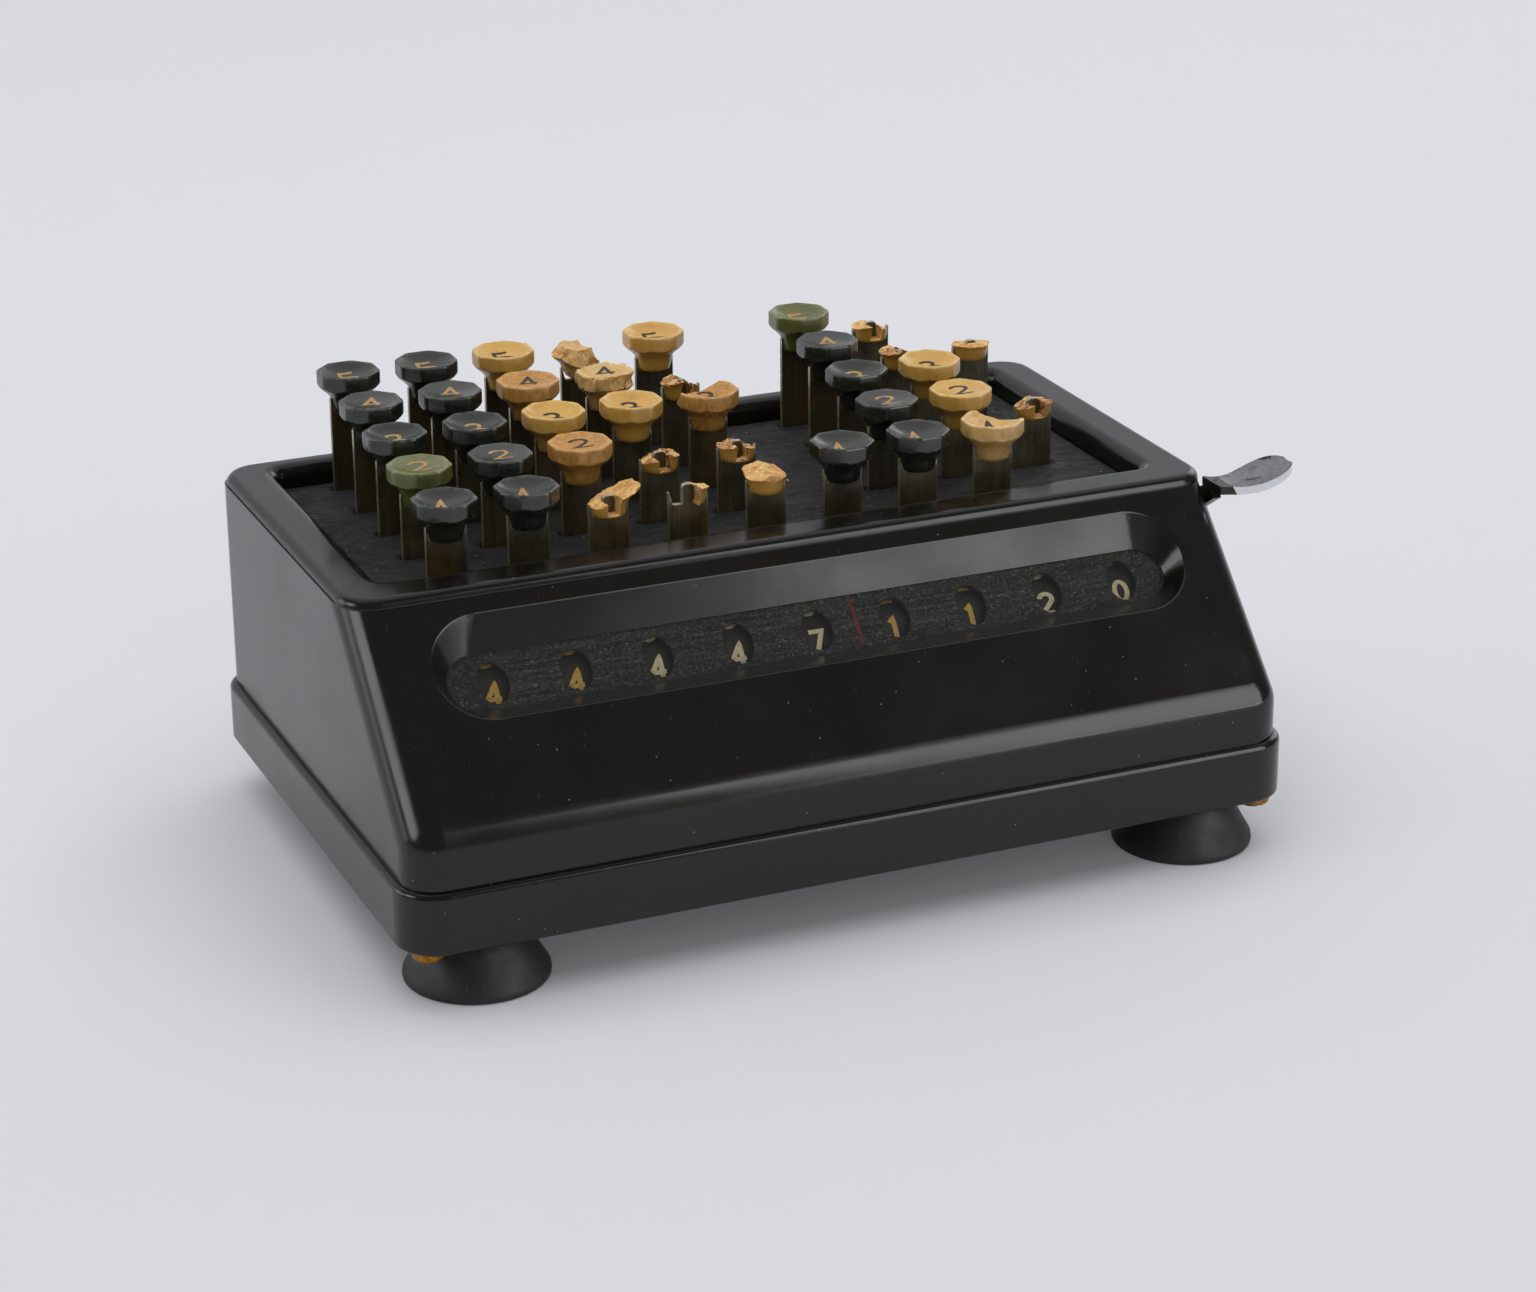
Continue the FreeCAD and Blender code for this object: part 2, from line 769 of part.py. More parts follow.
def thumb_section(x, half, height, hollow):
    """One upright section of the thumb piece: a strip bent into a shallow dish."""
    turn = math.radians(lever_arm_angle)
    middle_y = clear_shaft_y + lever_arm_length * math.cos(turn)
    bottom = clear_shaft_z + lever_arm_length * math.sin(turn) + height
    top = bottom + thumb_thickness
    points = [
        Vector(x, middle_y - half, bottom + hollow),
        Vector(x, middle_y, bottom),
        Vector(x, middle_y + half, bottom + hollow),
        Vector(x, middle_y + half, top + hollow),
        Vector(x, middle_y, top),
        Vector(x, middle_y - half, top + hollow),
    ]
    under = Part.Arc(points[0], points[1], points[2]).toShape()
    back = Part.LineSegment(points[2], points[3]).toShape()
    over = Part.Arc(points[3], points[4], points[5]).toShape()
    front = Part.LineSegment(points[5], points[0]).toShape()
    return Part.Wire([under, back, over, front])


def make_clearing_lever():
    """Clearing lever outside the case, and its shaft with one finger for each wheel."""
    inner = half_width + lever_side_gap
    outer = inner + lever_thickness
    shaft_start = -frame_outer
    shaft = rod(shaft_start, outer, clear_shaft_y, clear_shaft_z, clear_shaft_radius)
    for column in range(1, column_count + 1):
        x0 = column_x(column) + finger_offset
        y0 = clear_shaft_y - clear_shaft_radius - finger_length
        z0 = clear_shaft_z - finger_width / 2
        finger = box(x0, x0 + finger_thickness, y0, clear_shaft_y, z0, z0 + finger_width)
        shaft = shaft.fuse(finger)
    hub = rod(inner, outer, clear_shaft_y, clear_shaft_z, lever_hub_radius)
    half = lever_arm_width / 2
    arm = box(inner, outer, 0, lever_arm_length, -half, half)
    arm.rotate(Vector(0, 0, 0), Vector(1, 0, 0), lever_arm_angle)
    arm.translate(Vector(0, clear_shaft_y, clear_shaft_z))
    neck_x = outer + thumb_neck
    sections = [thumb_section(inner, thumb_neck_half_width, 0, thumb_root_hollow)]
    for share, half_width_here, height, hollow in thumb_stations:
        x = neck_x + share * thumb_length
        sections.append(thumb_section(x, half_width_here, height, hollow))
    thumb = Part.makeLoft(sections, True, False)
    lever = hub.fuse(arm).fuse(thumb)
    bore_x0 = inner - cut_past
    bore_x1 = outer + cut_past
    lever = lever.cut(rod(bore_x0, bore_x1, clear_shaft_y, clear_shaft_z, clear_shaft_radius))
    return Part.makeCompound([shaft, lever.removeSplitter()])


def make_stem(row):
    """Flat stem, its foot level with the others: horns grip the neck and a tang stands inside it."""
    half = stem_width / 2
    bottom = slide_top_z + stem_to_slide + stroke(row_count) - cap_base_z(row)
    neck_at_tip = neck_base_radius + (neck_top_radius - neck_base_radius) * horn_height / neck_height
    side = [
        (tang_width / 2, 0),
        (neck_base_radius + fit_gap, 0),
        (neck_at_tip + fit_gap, horn_height),
        (neck_at_tip + fit_gap + horn_tip, horn_height),
        (half, horn_shoulder),
        (half, bottom),
    ]
    outline = [(tang_width / 2, tang_height)] + side
    outline += [(-x, z) for x, z in reversed(outline)]
    corners = [Vector(x, -stem_thickness / 2, z) for x, z in outline]
    face = Part.Face(Part.makePolygon(corners + corners[:1]))
    return face.extrude(Vector(0, stem_thickness, 0))


def make_cap(row):
    """Turned cap with eight flats, a dished top and a conical neck."""
    dish = deep_dish if row % 2 else shallow_dish
    top = cap_height
    flat_low = top - cap_face_height
    dish_radius = cap_turned_radius - cap_edge_round - cap_land
    under_slope = (flat_low - neck_height) / (cap_across_flats / 2 - neck_top_radius)
    turned_low = neck_height + under_slope * (cap_turned_radius - neck_top_radius)
    sphere_radius = (dish_radius**2 + dish**2) / (2 * dish)
    half_way = dish_radius / 2
    sag = dish - sphere_radius + math.sqrt(sphere_radius**2 - half_way**2)
    profile = [
        Vector(0, 0, 0),
        Vector(neck_base_radius, 0, 0),
        Vector(neck_top_radius, 0, neck_height),
        Vector(cap_turned_radius, 0, turned_low),
        Vector(cap_turned_radius, 0, top - cap_edge_round),
        Vector(cap_turned_radius - cap_edge_round, 0, top),
        Vector(dish_radius, 0, top),
    ]
    edges = [Part.LineSegment(a, b).toShape() for a, b in zip(profile, profile[1:])]
    centre = Vector(0, 0, top - dish)
    edges.append(Part.Arc(profile[-1], Vector(half_way, 0, top - sag), centre).toShape())
    edges.append(Part.LineSegment(centre, profile[0]).toShape())
    turned = Part.Face(Part.Wire(edges)).revolve(Vector(0, 0, 0), Vector(0, 0, 1), 360)
    corner_radius = cap_across_flats / 2 / math.cos(math.pi / 8)
    corners = []
    for side in range(8):
        angle = (side + 0.5) * math.pi / 4
        corner_x = corner_radius * math.cos(angle)
        corner_y = corner_radius * math.sin(angle)
        corners.append(Vector(corner_x, corner_y, -cut_past))
    octagon = Part.Face(Part.makePolygon(corners + corners[:1]))
    return turned.common(octagon.extrude(Vector(0, 0, cap_height + 2 * cut_past)))


def broken_away(point, direction):
    """Everything beyond a break plane, given by a point on it and the way the piece left."""
    size = 3 * (cap_turned_radius + cap_height)
    block = Part.makeBox(size, size, size, Vector(-size / 2, -size / 2, 0))
    turn = Rotation(Vector(0, 0, 1), Vector(*direction))
    block.Placement = Placement(Vector(*point), turn)
    return block


def make_key(column, row):
    """Key: a stem with its cap, or with what is left of it."""
    stem = make_stem(row)
    cap = make_cap(row)
    state = cap_states.get((column, row))
    if state:
        for point, direction in state["breaks"]:
            cap = cap.cut(broken_away(point, direction))
        if state["open_front"]:
            half = tang_width / 2
            cap = cap.cut(box(-half, half, -cap_turned_radius, 0, -cut_past, cap_height))
    solids = [stem] + cap.cut(stem).Solids
    key = Part.makeCompound(solids)
    key.translate(Vector(column_x(column), row_y(row), cap_base_z(row)))
    return key


parts = {
    "base_tray": make_base_tray(),
    "upper_case": make_upper_case(),
    "keyboard_felt": make_keyboard_felt(),
    "dial_mask": make_dial_mask(),
    "dial_window": make_dial_window(),
    "rubber_feet": make_rubber_feet(),
    "case_screws": make_case_screws(),
    "side_frames": make_side_frames(),
    "key_guides": make_key_guides(),
    "wheel_axle": make_wheel_axle(),
    "drive_slides": make_drive_slides(),
    "slide_combs": make_slide_combs(),
    "clearing_lever": make_clearing_lever(),
}
for column in range(1, column_count + 1):
    parts["number_wheel_%d" % column] = make_number_wheel(column)

for column, rows in rows_in_column.items():
    for row in rows:
        parts["key_c%d_r%d" % (column, row)] = make_key(column, row)

os.makedirs("parts", exist_ok=True)
for name, shape in parts.items():
    shape.translate(Vector(case_middle_x, 0, 0))
    shape.exportStep(os.path.join("parts", name + ".step"))
    bounds = shape.BoundBox
    print(
        "%-18s valid %s solids %d volume %.1f  x %.1f %.1f  y %.1f %.1f  z %.1f %.1f"
        % (name, shape.isValid(), len(shape.Solids), shape.Volume, bounds.XMin, bounds.XMax,
           bounds.YMin, bounds.YMax, bounds.ZMin, bounds.ZMax)
    )
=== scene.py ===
"""Looks of a worn key-driven adding machine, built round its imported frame.

Sizes are in millimetres, and a mesh is turned to metres when it is made. X runs to the right,
Y to the back and Z up, as in the frame. "Up the slope" is measured from the front bend along the
sloping face that holds the dials, and "out" is square to that face.
"""

import itertools
import json
import logging
import math
from dataclasses import dataclass, field
from enum import Enum

import bpy
import numpy as np
from mathutils import Matrix, Vector

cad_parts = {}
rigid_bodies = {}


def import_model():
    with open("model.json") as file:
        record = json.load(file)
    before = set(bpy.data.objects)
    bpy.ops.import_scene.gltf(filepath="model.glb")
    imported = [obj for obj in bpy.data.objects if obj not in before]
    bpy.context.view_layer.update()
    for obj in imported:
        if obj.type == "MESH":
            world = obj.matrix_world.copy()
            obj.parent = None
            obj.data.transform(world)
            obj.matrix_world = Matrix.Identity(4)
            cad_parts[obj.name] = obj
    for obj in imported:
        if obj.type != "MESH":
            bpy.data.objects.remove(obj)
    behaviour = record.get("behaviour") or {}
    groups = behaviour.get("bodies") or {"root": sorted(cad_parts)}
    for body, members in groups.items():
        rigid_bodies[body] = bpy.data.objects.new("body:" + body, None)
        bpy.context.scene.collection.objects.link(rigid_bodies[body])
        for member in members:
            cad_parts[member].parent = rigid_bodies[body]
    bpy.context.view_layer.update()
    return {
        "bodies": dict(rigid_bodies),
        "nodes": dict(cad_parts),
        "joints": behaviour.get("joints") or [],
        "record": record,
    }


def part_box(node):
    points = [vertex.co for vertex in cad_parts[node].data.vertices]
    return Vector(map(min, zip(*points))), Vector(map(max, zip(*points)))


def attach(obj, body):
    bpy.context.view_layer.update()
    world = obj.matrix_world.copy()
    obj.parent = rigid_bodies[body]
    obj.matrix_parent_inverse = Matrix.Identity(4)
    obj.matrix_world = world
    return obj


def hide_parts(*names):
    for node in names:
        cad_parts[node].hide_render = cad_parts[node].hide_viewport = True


LOG = logging.getLogger("adding_machine")
MM = 0.001

# Three numbers along X, Y and Z, and the column and row of a key
Triple = tuple[float, float, float]
Key = tuple[int, int]

FRAME: dict = {}

# Hash of a lattice corner: a factor for each axis and for the seed, and one that scrambles the sum
AXIS_FACTORS = (374761393, 668265263, 1440662683)
SEED_FACTOR = 97
SCRAMBLE_FACTOR = 1274126177
WORD = 0xFFFFFFFF
HALF_WORD = 0xFFFF

# Shift of the lattice, in cells, from one seed to the next
SEED_SHIFT = 17.3


class Pattern(Enum):
    """Forms that a patch of colour or a relief can take."""

    CLOUDS = "clouds"
    CRACKS = "cracks"
    SPECKS = "specks"


class CapState(Enum):
    """Colour and wear of a key cap."""

    DARK = "dark"
    OLIVE = "olive"
    CREAM = "cream"
    PALE = "pale"
    BROWN = "brown"


@dataclass
class Surface:
    """Points in millimetres, faces that index them, and what the faces and points carry."""

    points: np.ndarray
    faces: list[np.ndarray]
    finishes: list[int] = field(default_factory=list)
    wear: np.ndarray | None = None

    def moved(self, x: float = 0, y: float = 0, z: float = 0) -> "Surface":
        """The same surface at another place."""
        return Surface(self.points + (x, y, z), self.faces, self.finishes, self.wear)


def volume(surface: Surface) -> float:
    """Signed volume: the sum over fan triangles of corner . (corner x corner) / 6.

    Args:
        surface: A closed surface.

    Returns:
        The volume, above zero where the faces point outwards.
    """
    total = 0.0
    for block in surface.faces:
        corners = surface.points[block]
        for k in range(1, block.shape[1] - 1):
            crossed = np.cross(corners[:, k], corners[:, k + 1])
            total += float(np.einsum("ij,ij->", corners[:, 0], crossed)) / 6
    return total


def facing_out(surface: Surface) -> Surface:
    """The same closed surface, turned round where its faces point inwards.

    Args:
        surface: A closed surface.

    Returns:
        The surface, its faces pointing outwards.
    """
    if volume(surface) < 0:
        surface.faces = [block[:, ::-1] for block in surface.faces]
    return surface


def grid_quads(rows: int, columns: int, wrap_rows: bool, wrap_columns: bool) -> np.ndarray:
    """Four-cornered faces of a grid whose points are stored row by row.

    Args:
        rows: Number of rows.
        columns: Number of points in a row.
        wrap_rows: Whether the last row joins the first.
        wrap_columns: Whether each row closes on itself.

    Returns:
        An array of faces, four point numbers each.
    """
    index = np.arange(rows * columns).reshape(rows, columns)
    if wrap_columns:
        index = np.concatenate([index, index[:, :1]], axis=1)
    if wrap_rows:
        index = np.concatenate([index, index[:1]], axis=0)
    quads = [index[:-1, :-1], index[:-1, 1:], index[1:, 1:], index[1:, :-1]]
    return np.stack(quads, axis=-1).reshape(-1, 4)


def loft(rings: np.ndarray, wrap: bool = False, wear: np.ndarray | None = None) -> Surface:
    """Closed skin over a stack of rings, with a flat face at each end.

    Args:
        rings: Points, as rings x points in a ring x 3.
        wrap: Whether the last ring joins the first, as on a hoop.
        wear: Wear of each ring from 0 to 1, or None.

    Returns:
        The surface, its faces pointing outwards.
    """
    rows, columns = rings.shape[:2]
    faces = [grid_quads(rows, columns, wrap, True)]
    if not wrap:
        first = np.arange(columns)
        faces.append(first[None, ::-1])
        faces.append(first[None, :] + (rows - 1) * columns)
    marks = None if wear is None else np.repeat(wear, columns)
    return facing_out(Surface(rings.reshape(-1, 3), faces, [0] * len(faces), marks))


def lathe(profile: list[tuple[float, float]], sides: int, centre: Triple) -> Surface:
    """Turned form: each profile point (radius, height) is carried round the upright axis.

    Args:
        profile: Radius and height of each ring, from one end to the other.
        sides: Points in a ring.
        centre: Place of the axis, and of height zero.

    Returns:
        The closed surface.
    """
    turn = np.linspace(0, 2 * math.pi, sides, endpoint=False)
    radius, height = np.array(profile).T
    x = centre[0] + radius[:, None] * np.cos(turn)
    y = centre[1] + radius[:, None] * np.sin(turn)
    z = centre[2] + height[:, None] + 0 * turn
    return loft(np.stack([x, y, z], axis=-1))


def joined(surfaces: list[Surface]) -> Surface:
    """One surface that holds several, each with its own finish numbers.

    Args:
        surfaces: The surfaces.

    Returns:
        The surface, not worn where a part of it has no wear.
    """
    points, faces, finishes, wear, start = [], [], [], [], 0
    for surface in surfaces:
        points.append(surface.points)
        faces += [block + start for block in surface.faces]
        finishes += surface.finishes or [0] * len(surface.faces)
        worn = surface.wear
        wear.append(np.zeros(len(surface.points)) if worn is None else worn)
        start += len(surface.points)
    return Surface(np.concatenate(points), faces, finishes, np.concatenate(wear))


def with_finish(surface: Surface, number: int) -> Surface:
    """The same surface, all in one finish of its piece."""
    return Surface(surface.points, surface.faces, [number] * len(surface.faces), surface.wear)


def unit(vectors: np.ndarray) -> np.ndarray:
    """Vectors of the same directions, n x 2 or n x 3, each of length one."""
    return vectors / np.linalg.norm(vectors, axis=1)[:, None]


def smooth_step(share: np.ndarray) -> np.ndarray:
    """Share from 0 to 1, level at both ends: three times its square less twice its cube."""
    return share * share * (3 - 2 * share)


def cloud_noise(points: np.ndarray, size: float, seed: int, octaves: int = 3) -> np.ndarray:
    """Smooth noise from about -1 to 1 at points in space.

    Each octave hashes the corners of a cubic lattice to random values and blends them by a
    smooth step; the next has half the size and half the height.

    Args:
        points: Points, n x 3, in millimetres.
        size: Width of the largest clouds in millimetres.
        seed: Number of the pattern.
        octaves: Number of layers.

    Returns:
        One value for each point.
    """
    total = np.zeros(len(points))
    reach = 0.0
    for octave in range(octaves):
        placed = points * 2**octave / size + SEED_SHIFT * seed
        cell = np.floor(placed).astype(np.int64)
        share = smooth_step(placed - cell)
        layer = np.zeros(len(points))
        for corner in itertools.product((0, 1), repeat=3):
            key = ((cell + corner) * AXIS_FACTORS).sum(axis=1) + seed * SEED_FACTOR & WORD
            key = (key ^ (key >> 13)) * SCRAMBLE_FACTOR & WORD
            value = ((key ^ (key >> 16)) & HALF_WORD) / (HALF_WORD / 2) - 1
            weight = np.where(np.array(corner) == 1, share, 1 - share).prod(axis=1)
            layer += value * weight
        total += layer / 2**octave
        reach += 1 / 2**octave
    return total / reach


def to_mesh(name: str, surface: Surface) -> bpy.types.Mesh:
    """Mesh of a surface, in metres.

    Args:
        name: Name of the mesh.
        surface: Its surface.

    Returns:
        The mesh, with an empty slot for each finish and the wear as an attribute.
    """
    mesh = bpy.data.meshes.new(name)
    faces = [face for block in surface.faces for face in block.tolist()]
    mesh.from_pydata(surface.points * MM, [], faces)
    finishes = surface.finishes or [0] * len(surface.faces)
    numbers = np.repeat(finishes, [len(block) for block in surface.faces])
    for _ in range(max(finishes) + 1):
        mesh.materials.append(None)
    mesh.polygons.foreach_set("material_index", numbers.astype(np.int32))
    if surface.wear is not None:
        mesh.attributes.new("wear", "FLOAT", "POINT").data.foreach_set("value", surface.wear)
    mesh.update()
    return mesh


def add_object(name: str, data: bpy.types.ID) -> bpy.types.Object:
    """Adds an object to the scene, at the origin.

    Args:
        name: Its name.
        data: Its mesh, lamp or camera.

    Returns:
        The object.
    """
    thing = bpy.data.objects.new(name, data)
    bpy.context.scene.collection.objects.link(thing)
    return thing


def add_piece(
    name: str,
    surface: Surface | bpy.types.Mesh,
    materials: list[bpy.types.Material],
    body: str,
    sharp: float = 34.0,
) -> bpy.types.Object:
    """Adds a piece of the machine.

    Args:
        name: Name of the piece.
        surface: Its surface, or a mesh made from one.
        materials: Its materials, in the order of its finish numbers.
        body: Body of the frame that it moves with.
        sharp: Angle between faces, in degrees, past which an edge shows.

    Returns:
        The object, at the origin.
    """
    mesh = to_mesh(name, surface) if isinstance(surface, Surface) else surface
    mesh.shade_smooth()
    mesh.set_sharp_from_angle(angle=math.radians(sharp))
    for number, material in enumerate(materials):
        if number < len(mesh.materials):
            mesh.materials[number] = material
        else:
            mesh.materials.append(material)
    piece = add_object(name, mesh)
    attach(piece, body)
    LOG.info("%s: %d faces on %s", name, len(mesh.polygons), body)
    return piece


def cut_away(name: str, body: Surface, cutters: list[Surface]) -> bpy.types.Mesh:
    """Mesh of a closed surface with others taken away; a cut face keeps its cutter's finish.

    Args:
        name: Name of the mesh.
        body: The closed surface that is cut.
        cutters: Closed surfaces, each of which takes its space away.

    Returns:
        The mesh that is left.
    """
    start = to_mesh(name, body)
    while len(start.materials) < 2:
        start.materials.append(None)
    left = add_object(name, start)
    helpers = []
    for number, cutter in enumerate(cutters):
        helper = add_object("%s_cut%d" % (name, number), to_mesh("cut", cutter))
        step = left.modifiers.new("cut", "BOOLEAN")
        step.object = helper
        step.solver = "EXACT"
        helpers.append(helper)
    graph = bpy.context.evaluated_depsgraph_get()
    mesh = bpy.data.meshes.new_from_object(left.evaluated_get(graph))
    for helper in helpers + [left]:
        old = helper.data
        bpy.data.objects.remove(helper)
        bpy.data.meshes.remove(old)
    mesh.name = name
    return mesh


def linear(colour: str) -> tuple[float, float, float, float]:
    """Linear RGBA of an sRGB colour.

    Args:
        colour: Six hex digits, such as "14130f".

    Returns:
        Red, green and blue by the sRGB curve, and an alpha of 1.
    """
    parts = []
    for start in (0, 2, 4):
        level = int(colour[start : start + 2], 16) / 255
        parts.append(level / 12.92 if level <= 0.04045 else ((level + 0.055) / 1.055) ** 2.4)
    return (parts[0], parts[1], parts[2], 1.0)


def bare_material(name: str) -> bpy.types.Material:
    """Adds a material whose node tree is empty.

    Args:
        name: Its name.

    Returns:
        The material.
    """
    material = bpy.data.materials.new(name)
    material.use_nodes = True
    material.node_tree.nodes.clear()
    return material


def add_node(
    tree: bpy.types.NodeTree,
    kind: str,
    inputs: dict | None = None,
    **settings: str | bool,
) -> bpy.types.Node:
    """Adds a shader node.

    Args:
        tree: The material's node tree.
        kind: Blender's name of the node, without "ShaderNode".
        inputs: Value or output socket for each input, by the input's name or number.
        **settings: Options of the node.

    Returns:
        The node.
    """
    node = tree.nodes.new("ShaderNode" + kind)
    for name, value in settings.items():
        setattr(node, name, value)
    for key, value in (inputs or {}).items():
        if isinstance(value, bpy.types.NodeSocket):
            tree.links.new(value, node.inputs[key])
        else:
            node.inputs[key].default_value = value
    return node


# Roughness of the noise that makes clouds, and what bends the cells of the cracks
CLOUD_ROUGHNESS = 0.55
BEND_FINENESS = 1.7
BEND_DETAIL = 3.0


@dataclass(frozen=True)
class Layer:
    """One layer of a finish: where it lies, and how large its pattern really is.

    The size is in millimetres. Stretch lengthens the pattern along axes turned by so many
    degrees, and follows names a point attribute that the layer is held to.
    """

    size: float
    pattern: Pattern = Pattern.CLOUDS
    start: float = 0.5
    blend: float = 0.2
    stretch: Triple = (1.0, 1.0, 1.0)
    turn: Triple = (0.0, 0.0, 0.0)
    detail: float = 3.0
    follows: str = ""

    def cover(self, tree: bpy.types.NodeTree, place: bpy.types.NodeSocket) -> bpy.types.NodeSocket:
        """Share of the surface that the layer covers at each point.

        Clouds are noise above a level. Cracks are the thin lines where two cells of a bent
        Voronoi pattern meet. Specks are small discs round some of the cells' middles.

        Args:
            tree: The material's node tree.
            place: Object coordinates, in metres.

        Returns:
            A socket from 0 to 1.
        """
        shrink = [1 / part for part in self.stretch]
        turned = [math.radians(part) for part in self.turn]
        place = add_node(tree, "Mapping", {0: place, "Rotation": turned}).outputs[0]
        place = add_node(tree, "Mapping", {0: place, "Scale": shrink}).outputs[0]
        scale = 1 / (self.size * MM)
        if self.pattern is Pattern.CLOUDS:
            noise = {"Vector": place, "Scale": scale, "Detail": self.detail}
            noise["Roughness"] = CLOUD_ROUGHNESS
            value = add_node(tree, "TexNoise", noise).outputs["Fac"]
            low, high = self.start, self.start + self.blend
        elif self.pattern is Pattern.CRACKS:
            noise = {"Vector": place, "Scale": scale * BEND_FINENESS, "Detail": BEND_DETAIL}
            shaken = add_node(tree, "TexNoise", noise).outputs["Color"]
            reach = (self.size * MM,) * 3
            shift = {0: shaken, 1: reach, 2: place}
            bent = add_node(tree, "VectorMath", shift, operation="MULTIPLY_ADD").outputs[0]
            cells = {"Vector": bent, "Scale": scale}
            cell = add_node(tree, "TexVoronoi", cells, feature="DISTANCE_TO_EDGE")
            value = cell.outputs["Distance"]
            low, high = self.start + self.blend, self.start
        else:
            cells = {"Vector": place, "Scale": scale}
            value = add_node(tree, "TexVoronoi", cells).outputs["Distance"]
            low, high = self.start + self.blend, self.start
        span = {"Value": value, "From Min": low, "From Max": high}
        cover = add_node(tree, "MapRange", span).outputs["Result"]
        if self.follows:
            mark = add_node(tree, "Attribute", attribute_name=self.follows).outputs["Fac"]
            cover = add_node(tree, "Math", {0: cover, 1: mark}, operation="MULTIPLY").outputs[0]
        return cover


@dataclass(frozen=True)
class Patch(Layer):
    """A second colour laid over a finish."""

    colour: str = "808080"
    strength: float = 1.0


@dataclass(frozen=True)
class Relief(Layer):
    """A bump laid over a finish; a height below zero is a hollow."""

    start: float = 0.3
    blend: float = 0.4
    height: float = 0.01


# A finish more metallic than this keeps the shader's own index
METAL_FROM = 0.5

# How much further red and green light goes under the surface than blue
SCATTER_SHARES = (1.0, 0.6, 0.3)

# Part of the noise's range that carries the roughness from its lower to its higher value
GLOSS_SPAN = (0.35, 0.65)
GLOSS_DETAIL = 5.0


@dataclass(frozen=True)
class Finish:
    """A real material and how its surface was made, from its colour to its relief.

    The roughness wanders between its two values in clouds of the gloss size, in millimetres,
    and the scatter reach is how far light goes under the surface, in millimetres too.
    """

    name: str
    colour: str
    roughness: tuple[float, float] = (0.4, 0.4)
    gloss_size: float = 12.0
    metallic: float = 0.0
    index: float = 1.5
    patches: tuple[Patch, ...] = ()
    reliefs: tuple[Relief, ...] = ()
    sheen: float = 0.0
    scatter: float = 0.0
    scatter_reach: float = 0.0

    def build(self) -> bpy.types.Material:
        """Makes the material: patches over the colour, and reliefs over the bare surface.

        Returns:
            The material.
        """
        material = bare_material(self.name)
        tree = material.node_tree
        place = add_node(tree, "TexCoord").outputs["Object"]
        shader = add_node(tree, "BsdfPrincipled", {"Metallic": self.metallic})
        if self.metallic < METAL_FROM:
            shader.inputs["IOR"].default_value = self.index
        shader.inputs["Sheen Weight"].default_value = self.sheen
        if self.scatter > 0:
            shader.inputs["Subsurface Weight"].default_value = self.scatter
            shader.inputs["Subsurface Radius"].default_value = SCATTER_SHARES
            shader.inputs["Subsurface Scale"].default_value = self.scatter_reach * MM
        shader.inputs["Base Color"].default_value = linear(self.colour)
        self.dress_colour(tree, place, shader)
        self.dress_gloss(tree, place, shader)
        self.dress_relief(tree, place, shader)
        add_node(tree, "OutputMaterial", {"Surface": shader.outputs[0]})
        return material

    def dress_colour(
        self,
        tree: bpy.types.NodeTree,
        place: bpy.types.NodeSocket,
        shader: bpy.types.Node,
    ) -> None:
        """Lays each patch over what is under it.

        Args:
            tree: The material's node tree.
            place: Object coordinates, in metres.
            shader: The node that it feeds.
        """
        under = linear(self.colour)
        for patch in self.patches:
            cover = patch.cover(tree, place)
            if patch.strength < 1:
                limit = {0: cover, 1: patch.strength}
                cover = add_node(tree, "Math", limit, operation="MULTIPLY").outputs[0]
            pair = {0: cover, 6: under, 7: linear(patch.colour)}
            under = add_node(tree, "Mix", pair, data_type="RGBA").outputs[2]
        if self.patches:
            tree.links.new(under, shader.inputs["Base Color"])

    def dress_gloss(
        self,
        tree: bpy.types.NodeTree,
        place: bpy.types.NodeSocket,
        shader: bpy.types.Node,
    ) -> None:
        """Lets the roughness wander between its two values, as handling and age leave it.

        Args:
            tree: The material's node tree.
            place: Object coordinates, in metres.
            shader: The node that it feeds.
        """
        low, high = self.roughness
        if low == high:
            shader.inputs["Roughness"].default_value = low
            return
        noise = {"Vector": place, "Scale": 1 / (self.gloss_size * MM), "Detail": GLOSS_DETAIL}
        value = add_node(tree, "TexNoise", noise).outputs["Fac"]
        span = {"Value": value, "From Min": GLOSS_SPAN[0], "From Max": GLOSS_SPAN[1]}
        span.update({"To Min": low, "To Max": high})
        rough = add_node(tree, "MapRange", span).outputs["Result"]
        tree.links.new(rough, shader.inputs["Roughness"])

    def dress_relief(
        self,
        tree: bpy.types.NodeTree,
        place: bpy.types.NodeSocket,
        shader: bpy.types.Node,
    ) -> None:
        """Lays each relief over the one before it, with its real height.

        Args:
            tree: The material's node tree.
            place: Object coordinates, in metres.
            shader: The node that it feeds.
        """
        normal = None
        for relief in self.reliefs:
            bump = {"Height": relief.cover(tree, place), "Distance": abs(relief.height) * MM}
            if normal is not None:
                bump["Normal"] = normal
            normal = add_node(tree, "Bump", bump, invert=relief.height < 0).outputs[0]
        if normal is not None:
            tree.links.new(normal, shader.inputs["Normal"])


